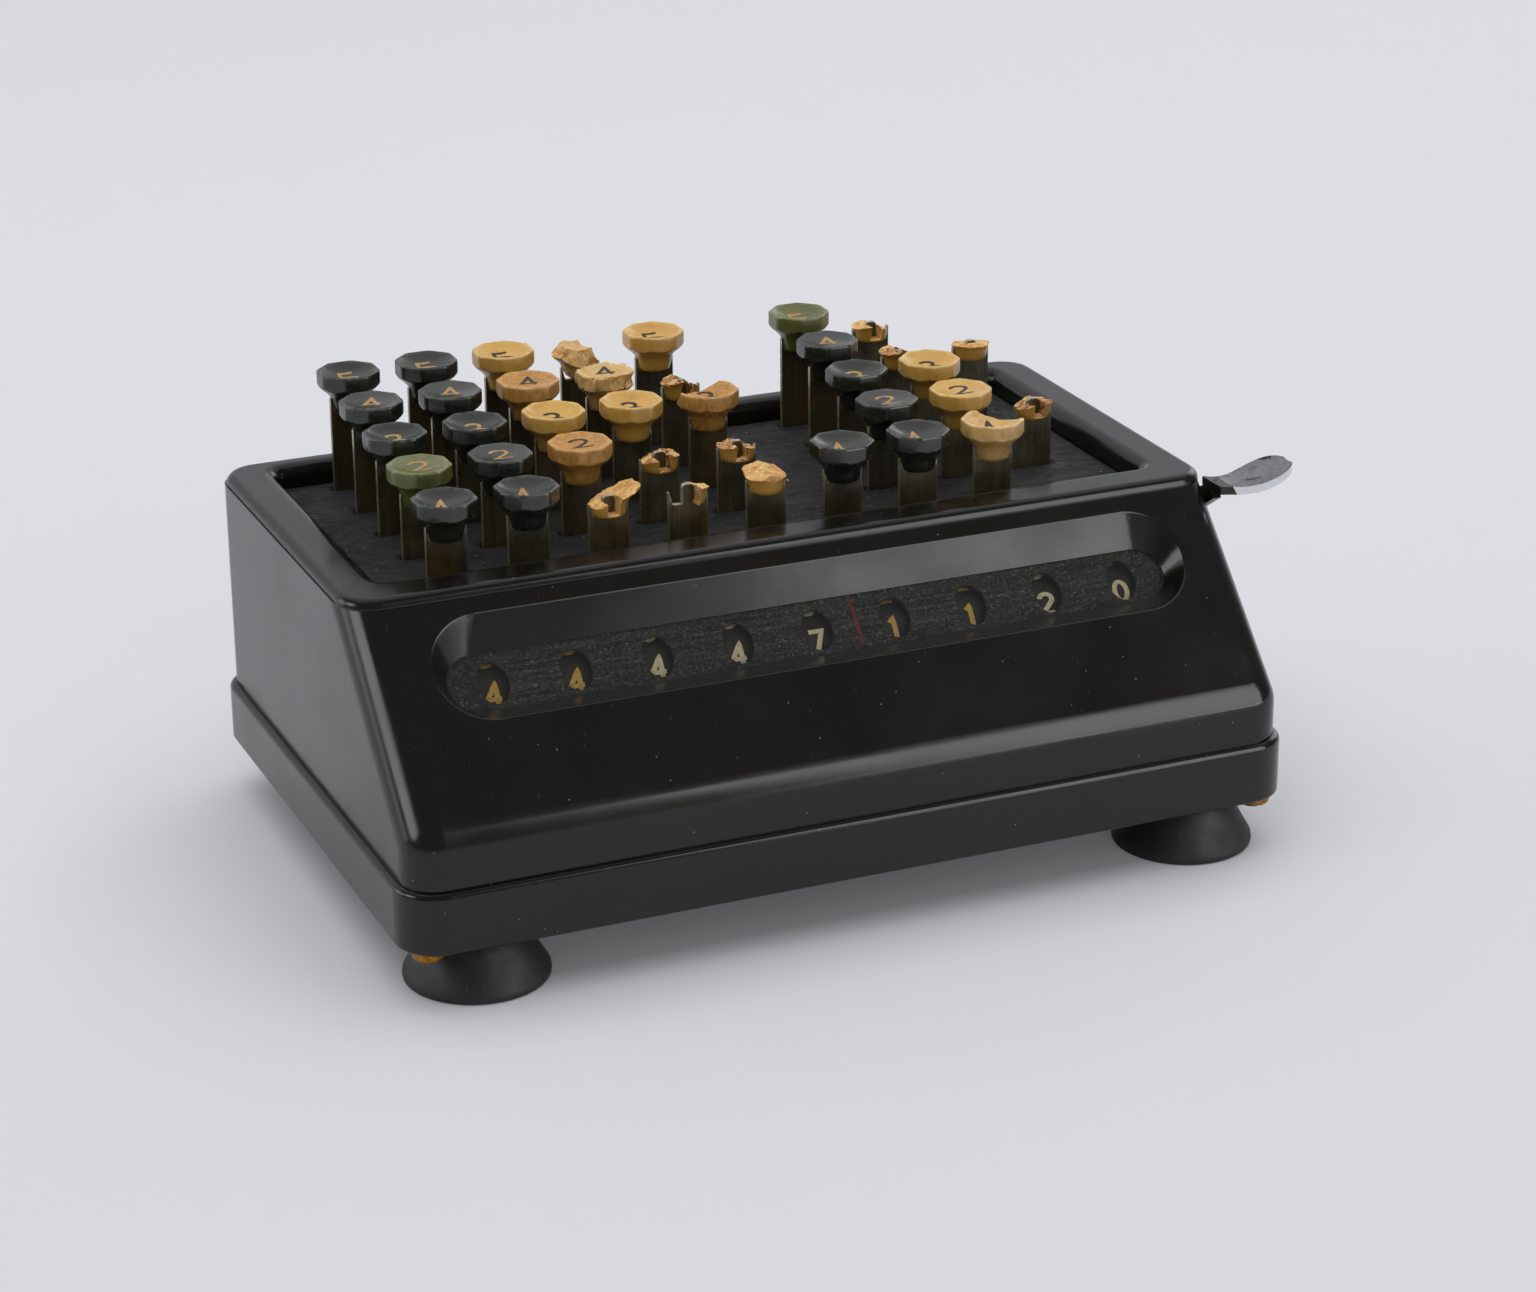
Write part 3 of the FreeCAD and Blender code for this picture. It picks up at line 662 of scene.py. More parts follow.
# Moulded phenolic, buffed: near-black with a warm brown cast where it has faded, a faint orange
# peel from the mould, short hairline scratches and a few pale specks of dust
CASE_PHENOLIC = Finish(
    "moulded_black_phenolic",
    "100f0c",
    roughness=(0.15, 0.24),
    gloss_size=26.0,
    index=1.47,
    patches=(
        Patch(38.0, blend=0.25, colour="191510", strength=0.7),
        Patch(
            0.35,
            start=0.69,
            blend=0.03,
            stretch=(1, 6, 6),
            turn=(20, 35, 50),
            colour="3a3936",
            strength=0.5,
        ),
        Patch(5.0, Pattern.SPECKS, start=0.03, blend=0.015, colour="8d8b85", strength=0.6),
        Patch(2.6, Pattern.SPECKS, start=0.022, blend=0.015, colour="56544f", strength=0.6),
    ),
    reliefs=(
        Relief(3.2, start=0.2, blend=0.6, height=0.005, detail=2.0),
        Relief(0.3, start=0.68, blend=0.04, stretch=(1, 9, 6), turn=(35, 10, 65), height=-0.002),
    ),
)

# The same phenolic in the key caps, polished by fingers and greyer on the worn edges
DARK_PHENOLIC = Finish(
    "cast_black_green_phenolic",
    "1e1f18",
    roughness=(0.2, 0.32),
    gloss_size=5.0,
    index=1.6,
    patches=(
        Patch(8.0, start=0.48, blend=0.25, colour="252b1c", strength=0.9),
        Patch(1.6, start=0.36, blend=0.3, colour="5f6964", strength=0.5, follows="wear"),
        Patch(0.5, start=0.66, blend=0.05, colour="3c413d", strength=0.5),
    ),
    reliefs=(Relief(0.5, height=0.004),),
)

# Cast phenolic resin in olive green, cloudy and a little translucent
OLIVE_PHENOLIC = Finish(
    "cast_olive_phenolic",
    "62642f",
    roughness=(0.22, 0.34),
    gloss_size=5.0,
    index=1.6,
    patches=(
        Patch(6.0, start=0.45, colour="525628"),
        Patch(1.5, start=0.35, blend=0.3, colour="949c66", strength=0.55, follows="wear"),
    ),
    reliefs=(Relief(0.6, height=0.004),),
    scatter=0.15,
    scatter_reach=1.0,
)

# Cast resin that was white once: aged to amber cream, darker in clouds and specks, translucent
CREAM_RESIN = Finish(
    "aged_cream_cast_resin",
    "cda04a",
    roughness=(0.22, 0.36),
    gloss_size=4.0,
    index=1.58,
    patches=(
        Patch(7.0, start=0.48, blend=0.25, colour="b98a3c", strength=0.8),
        Patch(2.5, start=0.6, blend=0.12, colour="a6742e", strength=0.4),
        Patch(1.2, start=0.3, blend=0.3, colour="dcbf7a", strength=0.7, follows="wear"),
        Patch(1.7, Pattern.SPECKS, start=0.05, blend=0.04, colour="7a4a1c", strength=0.5),
    ),
    reliefs=(Relief(0.8, height=0.006),),
    scatter=0.25,
    scatter_reach=1.2,
)

# The same resin dried pale, crazed with fine brown lines
PALE_RESIN = Finish(
    "dry_pale_cast_resin",
    "d2ab66",
    roughness=(0.3, 0.5),
    gloss_size=4.0,
    index=1.55,
    patches=(
        Patch(3.0, colour="bf8c48", strength=0.7),
        Patch(0.8, stretch=(1, 1, 5), colour="a9703a", strength=0.45),
        Patch(1.4, start=0.3, blend=0.3, colour="e4c88c", strength=0.8, follows="wear"),
        Patch(2.4, Pattern.CRACKS, start=0.003, blend=0.01, colour="5a3418", strength=0.7),
    ),
    reliefs=(
        Relief(2.4, Pattern.CRACKS, start=0.003, blend=0.02, height=-0.04),
        Relief(0.9, height=0.02),
    ),
    scatter=0.2,
    scatter_reach=1.0,
)

# The same resin where it is failing: brown, with fine upright grain, dull and crazed
BROWN_RESIN = Finish(
    "crazed_brown_cast_resin",
    "c08a3c",
    roughness=(0.36, 0.5),
    gloss_size=3.0,
    index=1.55,
    patches=(
        Patch(0.9, start=0.45, stretch=(1, 1, 6), colour="8f5c22", strength=0.6),
        Patch(4.0, colour="a06a2a", strength=0.5),
        Patch(1.5, start=0.55, blend=0.15, colour="cfa35c", strength=0.6),
        Patch(1.5, start=0.25, blend=0.35, colour="cfa25f", strength=0.85, follows="wear"),
        Patch(3.2, Pattern.CRACKS, start=0.004, blend=0.012, colour="4a2a12", strength=0.6),
    ),
    reliefs=(
        Relief(3.2, Pattern.CRACKS, start=0.004, blend=0.02, height=-0.05),
        Relief(0.8, height=0.015),
    ),
    scatter=0.15,
    scatter_reach=0.8,
)

# Fresh breaks in the resin: dry, crumbly, pale cream with amber and a little rust brown
BROKEN_RESIN = Finish(
    "broken_resin",
    "d8ae68",
    roughness=(0.6, 0.8),
    gloss_size=1.5,
    index=1.5,
    patches=(
        Patch(2.6, start=0.46, blend=0.14, colour="bf7f38", strength=0.9),
        Patch(1.7, start=0.64, blend=0.06, colour="74371a", strength=0.85),
        Patch(0.8, start=0.58, blend=0.08, colour="f4e4bc", strength=0.7),
    ),
    reliefs=(Relief(0.6, height=0.12, detail=5.0),),
    scatter=0.15,
    scatter_reach=0.8,
)

# Crumbs of resin stained by rust: cream with dark red brown in its hollows
STAINED_RESIN = Finish(
    "rust_stained_resin",
    "deb473",
    roughness=(0.55, 0.75),
    gloss_size=1.5,
    patches=(
        Patch(2.0, start=0.44, blend=0.1, colour="a2622c", strength=0.8),
        Patch(1.5, start=0.52, blend=0.07, colour="4c1a0e", strength=0.95),
        Patch(0.8, start=0.62, blend=0.06, colour="f0dcae", strength=0.8),
    ),
    reliefs=(Relief(0.6, height=0.14, detail=5.0),),
)

# Rolled steel, blued and then oiled for years: dark olive bronze with soft upright streaks, amber
# where old oil has run down, and pale bare metal on the sheared edges, partly a painted highlight
# where they face up
STEM_STEEL = Finish(
    "oiled_strip_steel",
    "403a27",
    roughness=(0.24, 0.4),
    gloss_size=6.0,
    metallic=0.3,
    patches=(
        Patch(3.2, start=0.42, blend=0.25, stretch=(1, 1, 14), colour="524c34", strength=0.75),
        Patch(1.0, stretch=(1, 1, 26), colour="28241a", strength=0.7),
        Patch(9.0, start=0.52, stretch=(1, 1, 1.4), colour="70501f", strength=0.55),
        Patch(0.4, start=0.62, blend=0.1, stretch=(1, 1, 30), colour="6d6750", strength=0.4),
        # Pale bare metal on the edges, partly a painted highlight on the up-facing notch, horns and
        # tang top
        Patch(1.6, start=0.2, blend=0.3, colour="c9c0a4", strength=0.8, follows="wear"),
    ),
    reliefs=(Relief(0.5, start=0.35, blend=0.3, stretch=(1, 1, 24), height=0.006),),
)

# Chromium plate on the lever's edges: bright, with small rusted pits
CHROME_PLATE = Finish(
    "polished_chromium_plate",
    "dcdee2",
    roughness=(0.04, 0.1),
    gloss_size=6.0,
    metallic=1.0,
    patches=(Patch(2.0, start=0.68, blend=0.02, stretch=(2, 1, 1), colour="2b211a", strength=0.9),),
    reliefs=(Relief(2.0, start=0.68, blend=0.03, stretch=(2, 1, 1), height=-0.03),),
)

# The same plate on top, rubbed dull and dimpled, with dark spots where it has peeled
WORN_PLATE = Finish(
    "rubbed_chromium_plate",
    "8d8f92",
    roughness=(0.16, 0.34),
    gloss_size=4.0,
    metallic=1.0,
    patches=(
        Patch(1.6, start=0.48, blend=0.25, colour="6c6e70", strength=0.7),
        Patch(2.3, start=0.62, blend=0.02, stretch=(2, 1, 1), colour="2b211a", strength=0.9),
        Patch(0.9, Pattern.SPECKS, start=0.1, blend=0.04, colour="3a3632", strength=0.7),
    ),
    reliefs=(
        Relief(1.4, height=0.08),
        Relief(2.3, start=0.62, blend=0.03, stretch=(2, 1, 1), height=-0.03),
    ),
)

# Steel strip of the lever's arm, browned
LEVER_STEEL = Finish(
    "browned_strip_steel",
    "2a2722",
    roughness=(0.3, 0.45),
    gloss_size=5.0,
    metallic=0.6,
    patches=(Patch(3.0, colour="4a4438", strength=0.6),),
    reliefs=(Relief(0.5, height=0.008),),
)

# Turned brass, browned in the air in clouds, with bright metal left between them
BRASS = Finish(
    "tarnished_turned_brass",
    "a8752e",
    roughness=(0.28, 0.45),
    gloss_size=2.0,
    metallic=1.0,
    patches=(Patch(2.0, start=0.45, colour="6a4418", strength=0.75),),
    reliefs=(Relief(0.35, height=0.01),),
)

# Moulded rubber, dull black and a little dusty
RUBBER = Finish(
    "moulded_black_rubber",
    "161616",
    roughness=(0.5, 0.68),
    gloss_size=8.0,
    index=1.52,
    patches=(
        Patch(9.0, colour="2a2a29", strength=0.5),
        Patch(1.0, start=0.62, blend=0.1, colour="4c4a46", strength=0.35),
    ),
    reliefs=(Relief(1.0, height=0.02),),
)

# Pressed wool felt, black, with pale lint; its nap is worn into short ridges, and two lighter
# streak patches paint the highlights that those ridges catch
FELT = Finish(
    "pressed_black_felt",
    "0f0f10",
    roughness=(0.55, 0.85),
    gloss_size=4.0,
    patches=(
        # Painted highlight: these two lighter streaks along the nap stand for the light that its
        # ridges catch
        Patch(1.3, start=0.52, blend=0.14, stretch=(2.6, 1, 1), turn=(0, 0, 35), colour="1e1e20"),
        Patch(
            0.6,
            start=0.64,
            blend=0.07,
            stretch=(4, 1, 1),
            turn=(0, 0, -30),
            colour="3c3c40",
            strength=0.8,
        ),
        Patch(4.0, Pattern.SPECKS, start=0.05, blend=0.02, colour="a09a88", strength=0.7),
        Patch(0.45, start=0.69, blend=0.03, colour="7a766a", strength=0.75),
    ),
    reliefs=(
        Relief(2.2, stretch=(2, 1, 1), turn=(0, 0, 20), height=0.4),
        Relief(0.5, stretch=(3, 1, 1), turn=(0, 0, 35), height=0.18),
    ),
    sheen=0.05,
)

# Black fibre card with pale fibres pressed into its face, which show as short curved lines
FIBRE_CARD = Finish(
    "pressed_fibre_card",
    "1a1a1a",
    roughness=(0.6, 0.8),
    gloss_size=3.0,
    patches=(
        Patch(1.0, Pattern.CRACKS, start=0.02, blend=0.05, colour="56565a", strength=0.7),
        Patch(0.55, start=0.6, blend=0.08, stretch=(4, 1, 1), turn=(0, 0, 60), colour="77777c"),
        Patch(0.5, start=0.62, blend=0.08, stretch=(4, 1, 1), turn=(0, 0, -20), colour="77777c"),
    ),
    reliefs=(Relief(0.5, height=0.03),),
)

# Black lacquer on the number wheels, matt
WHEEL_LACQUER = Finish(
    "matt_black_lacquer",
    "12110f",
    roughness=(0.5, 0.65),
    patches=(Patch(3.0, colour="201c16", strength=0.6),),
    reliefs=(Relief(0.6, height=0.01),),
)

# Cold-rolled steel inside the machine, zinc grey with a grain along the sheet
SHEET_STEEL = Finish(
    "cold_rolled_steel",
    "8e8d88",
    roughness=(0.28, 0.42),
    metallic=0.9,
    patches=(Patch(5.0, start=0.52, blend=0.15, colour="6b6558", strength=0.7),),
    reliefs=(Relief(0.4, stretch=(10, 1, 1), height=0.008),),
)


def filled_enamel(name: str, colour: str, shade: str) -> Finish:
    """Enamel wiped into engraved figures, uneven and a little chipped.

    Args:
        name: Name of the finish.
        colour: Its colour where it is whole.
        shade: Its colour where it is thin.

    Returns:
        The finish.
    """
    patches = (
        Patch(0.9, blend=0.15, colour=shade, strength=0.7),
        Patch(0.45, start=0.66, blend=0.05, colour="1c1a16", strength=0.8),
    )
    return Finish(name, colour, roughness=(0.45, 0.6), gloss_size=1.5, patches=patches)


GOLD_ENAMEL = filled_enamel("gold_enamel", "b08c54", "86663c")
BLACK_ENAMEL = filled_enamel("black_enamel", "241a12", "3a2a1c")
AMBER_ENAMEL = filled_enamel("amber_enamel", "dcb24c", "c49434")
IVORY_ENAMEL = filled_enamel("ivory_enamel", "f2e6c0", "d2c196")
RED_ENAMEL = filled_enamel("red_enamel", "7a1a1e", "561418")
TEAL_ENAMEL = filled_enamel("teal_enamel", "1d3c38", "16302d")


# Degrees between the points of an arc, and share of a figure's height between those of a run
ARC_STEP = 9.0
RUN_STEP = 0.05


def arc(x: float, y: float, width: float, height: float, start: float, end: float) -> np.ndarray:
    """Points of an ellipse's arc: the middle, and the half sizes times cosine and sine.

    Args:
        x: Middle of the ellipse, across.
        y: Middle of the ellipse, up.
        width: Half its width.
        height: Half its height.
        start: Angle of the first point in degrees, from the right and turning left.
        end: Angle of the last point.

    Returns:
        The points, n x 2.
    """
    count = max(3, int(abs(end - start) / ARC_STEP) + 1)
    turn = np.radians(np.linspace(start, end, count))
    return np.stack([x + width * np.cos(turn), y + height * np.sin(turn)], axis=-1)


def line(*corners: tuple[float, float]) -> np.ndarray:
    """Points along straight runs, evenly spaced in each.

    Args:
        *corners: The corners in order.

    Returns:
        The points, n x 2, the last corner among them.
    """
    stops = np.array(corners)
    runs = []
    for a, b in zip(stops[:-1], stops[1:]):
        count = max(2, round(float(np.linalg.norm(b - a)) / RUN_STEP))
        runs.append(a + (b - a) * np.linspace(0, 1, count, endpoint=False)[:, None])
    return np.concatenate(runs + [stops[-1:]])


@dataclass(frozen=True)
class Figures:
    """Shapes of the ten figures, one high, with the middle of the foot at the origin."""

    flag_reach: float = 0.17
    flag_foot: float = 0.8
    mitre_limit: float = 2.0

    def strokes(self, figure: int) -> list[np.ndarray]:
        """Pen strokes of a figure; the nine is a six turned half round.

        Args:
            figure: The figure, 0 to 9.

        Returns:
            A line of points for each stroke.
        """
        if figure == 0:
            return [arc(0, 0.5, 0.25, 0.46, 90, 450)]
        if figure == 1:
            return [line((-self.flag_reach, self.flag_foot), (0, 0.97), (0, 0.03))]
        if figure == 2:
            bowl = arc(0, 0.71, 0.25, 0.25, 170, -35)
            tail = line((bowl[-1][0], bowl[-1][1]), (-0.26, 0.04), (0.27, 0.04))
            return [np.concatenate([bowl[:-1], tail])]
        if figure == 3:
            low = arc(-0.01, 0.27, 0.26, 0.25, 80, -150)
            return [np.concatenate([arc(-0.01, 0.74, 0.21, 0.22, 150, -80), low])]
        if figure == 4:
            return [line((0.12, 0.03), (0.12, 0.95), (-0.27, 0.28), (0.28, 0.28))]
        if figure == 5:
            bowl = arc(0, 0.32, 0.26, 0.29, 130, -150)
            hook = line((0.22, 0.96), (-0.19, 0.96), (-0.21, 0.55), (bowl[0][0], bowl[0][1]))
            return [np.concatenate([hook[:-1], bowl])]
        if figure == 6:
            return [arc(0, 0.29, 0.25, 0.26, 180, 540), arc(0.15, 0.29, 0.4, 0.67, 180, 100)]
        if figure == 7:
            return [line((-0.26, 0.96), (0.25, 0.96), (-0.06, 0.03))]
        if figure == 8:
            return [arc(0, 0.74, 0.2, 0.22, -90, 270), arc(0, 0.27, 0.25, 0.25, 90, 450)]
        return [(0, 1) - part for part in self.strokes(6)]

    def ribbons(
        self,
        figure: int,
        height: float,
        pen: float,
        depth: float,
    ) -> list[tuple[np.ndarray, bool]]:
        """Rectangular rings along each stroke, mitred at its corners.

        A ring's half width is half the pen over the cosine of half the corner, up to a limit.

        Args:
            figure: The figure, 0 to 9.
            height: Its height.
            pen: Width of a stroke.
            depth: Thickness of a stroke; it stands this far from below the face to above it.

        Returns:
            For each stroke its rings, as rings x 4 x (across, up, out), and whether it is closed.
        """
        found = []
        for stroke in self.strokes(figure):
            path = stroke * height
            closed = bool(np.allclose(path[0], path[-1]))
            if closed:
                path = path[:-1]
                runs = np.roll(path, -1, axis=0) - path
                before = np.roll(runs, 1, axis=0)
            else:
                runs = np.diff(path, axis=0)
                before = np.concatenate([runs[:1], runs])
                runs = np.concatenate([runs, runs[-1:]])
            runs, before = unit(runs), unit(before)
            middle = unit(runs + before)
            spread = 1 / np.clip(np.einsum("ij,ij->i", middle, runs), 1 / self.mitre_limit, 1)
            side = np.stack([-middle[:, 1], middle[:, 0]], axis=-1) * (pen / 2 * spread)[:, None]
            flat = [path - side, path + side, path + side, path - side]
            out = np.array([-depth / 2, -depth / 2, depth / 2, depth / 2])
            rings = np.stack(flat, axis=1)
            out = np.broadcast_to(out[None, :, None], rings.shape[:2] + (1,))
            found.append((np.concatenate([rings, out], axis=-1), closed))
        return found


# Rough blocks: points in a ring, rings, and size and seed numbers of the noise along X, Y and Z
BLOCK_SIDES = 32
BLOCK_RINGS = 24
BLOCK_GRAIN = 1.6
BLOCK_SEEDS = (11, 12, 13)


def rough_box(low: Triple, high: Triple, rough: float, seed: int) -> Surface:
    """Block between two corners with uneven faces.

    Its rings are squares along Y, the radius of each point one over the larger of its cosine
    and sine, and noise moves each point.

    Args:
        low: Lowest corner.
        high: Highest corner.
        rough: How far a point may move.
        seed: Number of the roughness.

    Returns:
        The closed surface.
    """
    turn = np.linspace(0, 2 * math.pi, BLOCK_SIDES, endpoint=False)
    reach = 1 / np.maximum(abs(np.cos(turn)), abs(np.sin(turn)))
    low, high = np.array(low), np.array(high)
    middle, half = (low + high) / 2, (high - low) / 2
    y = np.linspace(low[1], high[1], BLOCK_RINGS)
    x = middle[0] + half[0] * reach * np.cos(turn) + 0 * y[:, None]
    z = middle[2] + half[2] * reach * np.sin(turn) + 0 * y[:, None]
    rings = np.stack([x, y[:, None] + 0 * x, z], axis=-1)
    flat = rings.reshape(-1, 3)
    moved = [cloud_noise(flat, BLOCK_GRAIN, seed + k) * rough for k in BLOCK_SEEDS]
    return loft((flat + np.stack(moved, axis=-1)).reshape(rings.shape))


@dataclass
class Breaks:
    """What is missing of a cap, and how rough its breaks are.

    A break plane is a point, from the middle of the neck's foot, and the direction of what is
    missing.
    """

    planes: list[tuple[Triple, Triple]]
    open_front: bool = False
    rough: float = 0.5
    crumble: float = 0.0
    stained: bool = False
    figure_left: bool = False


@dataclass(frozen=True)
class BreakFace:
    """Rough face of a break: crumbs of several sizes on ledges."""

    block_size: float = 24.0
    points_across: int = 61
    helper: Triple = (0.3, 0.9, 0.1)
    grain_size: float = 2.6
    grain_octaves: int = 4
    grain_height: float = 1.2
    ledge_size: float = 3.4
    ledge_octaves: int = 2
    ledge_steps: float = 2.5
    ledge_height: float = 0.8
    ledge_seed: int = 3

    def block(self, point: Triple, away: Triple, rough: float, seed: int) -> Surface:
        """Block beyond a break plane, its near face a rough grid.

        A point of the face stands off the plane by fine noise plus coarse noise rounded to
        steps, which gives crumbs on ledges.

        Args:
            point: A point of the plane.
            away: Direction of what is missing.
            rough: Size of the crumbs and ledges.
            seed: Number of the roughness.

        Returns:
            The closed surface, in the second finish of its piece.
        """
        out = np.array(away, dtype=float)
        out /= np.linalg.norm(out)
        across = np.cross(out, self.helper)
        across /= np.linalg.norm(across)
        along = np.cross(out, across)
        step = np.linspace(-self.block_size / 2, self.block_size / 2, self.points_across)
        u, v = np.meshgrid(step, step, indexing="ij")
        flat = np.array(point) + u[..., None] * across + v[..., None] * along
        points = flat.reshape(-1, 3)
        grain = cloud_noise(points, self.grain_size, seed, self.grain_octaves)
        ledges = cloud_noise(points, self.ledge_size, seed + self.ledge_seed, self.ledge_octaves)
        ledges = np.round(ledges * self.ledge_steps) / self.ledge_steps
        lift = (grain * self.grain_height + ledges * self.ledge_height) * rough
        near = flat + lift.reshape(u.shape)[..., None] * out
        far = flat + self.block_size * out
        rows = np.concatenate([far, near[:, ::-1]], axis=1)
        return with_finish(loft(rows), 1)


@dataclass
class KeyCap:
    """Turned cap with eight flats, a dished top and a conical neck; heights from the neck's foot.

    An edge is a row of rings, each with its inset from the edge, its rise and its wear.
    """

    # Whole form, from the neck to the dish
    across_flats: float = 13.9
    turned_radius: float = 7.35
    height: float = 9.5
    flat_height: float = 3.7
    flat_corner_rise: float = 1.2
    flats: int = 8
    sides_per_flat: int = 12
    neck_height: float = 3.8
    neck_foot_radius: float = 3.9
    neck_foot_inset: float = 0.4
    neck_foot_rise: float = 0.3
    neck_top_radius: float = 4.6
    neck_shares: tuple[float, ...] = (0.3, 0.6, 0.8)
    flare_shares: tuple[float, ...] = (0.06, 0.18, 0.35, 0.6, 0.85)
    flare_dip: float = 0.35
    flare_fade: float = 6.0
    under_edge: tuple[Triple, ...] = (
        (0.12, -0.08, 0.4),
        (0.02, 0.05, 1.0),
        (0.0, 0.25, 0.3),
    )
    edge_round: float = 0.38
    edge_degrees: tuple[int, ...] = (0, 30, 60, 90)
    edge_band: float = 0.25
    edge_band_wear: float = 0.3
    land: float = 0.42
    land_least: float = 0.02
    deep_dish: float = 2.2
    shallow_dish: float = 0.7
    dish_rim_shares: tuple[float, ...] = (1.0, 0.96)
    dish_rim_wear: float = 0.7
    dish_shares: tuple[float, ...] = (0.88, 0.76, 0.6, 0.42, 0.24, 0.08, 0.004)

    # Figure laid on the dish
    figure_height: float = 5.9
    figure_widen: float = 1.3
    figure_pen: float = 0.7
    figure_depth: float = 0.12
    one_flag_reach: float = 0.24
    one_flag_foot: float = 0.42

    # Noise of the chips on the edges, and of the lumps and crumbs of a crumbled head
    chip_size: float = 2.2
    chip_level: float = 0.25
    crumble_radius: float = 4.2
    crumble_blend: float = 2.0
    lump_size: float = 3.2
    lump_steps: int = 3
    lump_seed: int = 5
    crumb_size: float = 0.9
    crumb_share: float = 0.4
    crumb_seed: int = 6
    crumble_lift: float = 0.35
    crumble_most: float = 1.4
    heart_rise: float = 2.0

    # Breaks, the opening in front of the tang, and how often a cut is tried
    broken_chips: float = 0.5
    open_foot: float = 0.6
    open_back: float = 0.3
    open_rough: float = 0.25
    open_margin: float = 1.0
    face: BreakFace = field(default_factory=BreakFace)
    plane_seeds: int = 7
    attempt_seeds: int = 100
    attempts: int = 4
    fewest_faces: int = 600

    def dish(self, row: int) -> float:
        """Depth of the dish: odd rows are deep, so that a finger feels which row it is on."""
        return self.deep_dish if row % 2 else self.shallow_dish

    def dish_radius(self) -> float:
        """Radius of the dish's edge."""
        return self.turned_radius - self.edge_round - self.land

    def dish_height(self, row: int, radius: np.ndarray) -> np.ndarray:
        """Height of the dish at a radius: a sphere through its edge and its lowest point.

        Args:
            row: Row of the key, which sets the dish.
            radius: Distance of each point from the axis.

        Returns:
            One height for each point, the edge's height beyond the edge.
        """
        dish, edge = self.dish(row), self.dish_radius()
        sphere = (edge**2 + dish**2) / (2 * dish)
        low = self.height - dish + sphere
        return low - np.sqrt(np.maximum(sphere**2 - np.minimum(radius, edge) ** 2, 0))

    def outline(self, turn: np.ndarray) -> np.ndarray:
        """Radius of the head: the flat's distance over the cosine, or the turned radius if less.

        Args:
            turn: Angles round the axis.

        Returns:
            One radius for each angle.
        """
        step = 2 * math.pi / self.flats
        from_flat = (turn + step / 2) % step - step / 2
        return np.minimum(self.turned_radius, self.across_flats / 2 / np.cos(from_flat))

    def profile(self, row: int, head: np.ndarray) -> list[tuple]:
        """Rings of the whole cap from the neck's foot to the middle of the dish.

        The flats end in scallops below: the blank's underside bulges, so that a flat reaches
        lower in its middle, where it is nearer to the axis, than at its corners. From the neck
        out to the flats the height rises evenly, less a dip that fades exponentially.

        Args:
            row: Row of the key, which sets the dish.
            head: Radius of the head at each angle.

        Returns:
            Radius, height and wear of each ring.
        """
        foot, neck, top = self.neck_foot_radius, self.neck_top_radius, self.height
        low = top - self.flat_height + self.flat_corner_rise * (head - self.across_flats / 2)
        rings = [(foot - self.neck_foot_inset, 0.0, 0.0), (foot, self.neck_foot_rise, 0.0)]
        for share in self.neck_shares:
            rings.append((foot + (neck - foot) * share, self.neck_height * share, 0.0))
        for share in self.flare_shares:
            dip = self.flare_dip * math.exp(-self.flare_fade * share)
            height = self.neck_height - dip + (low - self.neck_height) * share + dip * share
            rings.append((neck + (head - neck) * share, height, 0.0))
        for inset, rise, worn in self.under_edge:
            rings.append((head - inset, low + rise, worn))
        rings.append((head, (low + top) / 2, 0.0))
        rings.append((head, top - self.edge_round - self.edge_band, self.edge_band_wear))
        for degrees in self.edge_degrees:
            bend = math.radians(degrees)
            radius = head - self.edge_round * (1 - math.cos(bend))
            rings.append((radius, top - self.edge_round * (1 - math.sin(bend)), 1.0))
        inner = np.minimum(self.dish_radius(), head - self.edge_round - self.land_least)
        for share in self.dish_rim_shares + self.dish_shares:
            worn = self.dish_rim_wear if share in self.dish_rim_shares else 0.0
            rings.append((inner * share, self.dish_height(row, inner * share), worn))
        return rings

    def body(self, row: int, seed: int, chips: float, crumble: float = 0.0) -> Surface:
        """Whole cap: its profile carried round the axis, dented towards its heart by noise.

        Args:
            row: Row of the key, which sets the dish.
            seed: Number of its chips and dents.
            chips: Depth of the chips on the edges.
            crumble: Depth to which the whole head has crumbled.

        Returns:
            The closed surface, with wear marked on its edges.
        """
        sides = self.flats * self.sides_per_flat
        turn = np.linspace(0, 2 * math.pi, sides, endpoint=False)
        radii, heights, wear = zip(*self.profile(row, self.outline(turn)))
        radius = np.stack([part + 0 * turn for part in radii])
        height = np.stack([part + 0 * turn for part in heights])
        stack = np.stack([radius * np.cos(turn), radius * np.sin(turn), height], axis=-1)
        flat = stack.reshape(-1, 3)
        worn = np.repeat(wear, len(turn))
        chipped = cloud_noise(flat, self.chip_size, seed) - self.chip_level
        dent = np.clip(chipped, 0, 1) * worn * chips
        if crumble > 0:
            from_axis = np.hypot(flat[:, 0], flat[:, 1])
            on_head = np.clip((from_axis - self.crumble_radius) / self.crumble_blend, 0, 1)
            lumps = cloud_noise(flat, self.lump_size, seed + self.lump_seed, 2)
            lumps = np.round(lumps * self.lump_steps) / self.lump_steps
            crumbs = cloud_noise(flat, self.crumb_size, seed + self.crumb_seed, 2)
            lumps = lumps + self.crumb_share * crumbs
            dent += crumble * on_head * np.clip(lumps + self.crumble_lift, 0, self.crumble_most)
        heart = np.array([0, 0, self.neck_height + self.heart_rise])
        flat = flat + unit(heart - flat) * dent[:, None]
        return loft(flat.reshape(stack.shape), wear=np.array(wear))

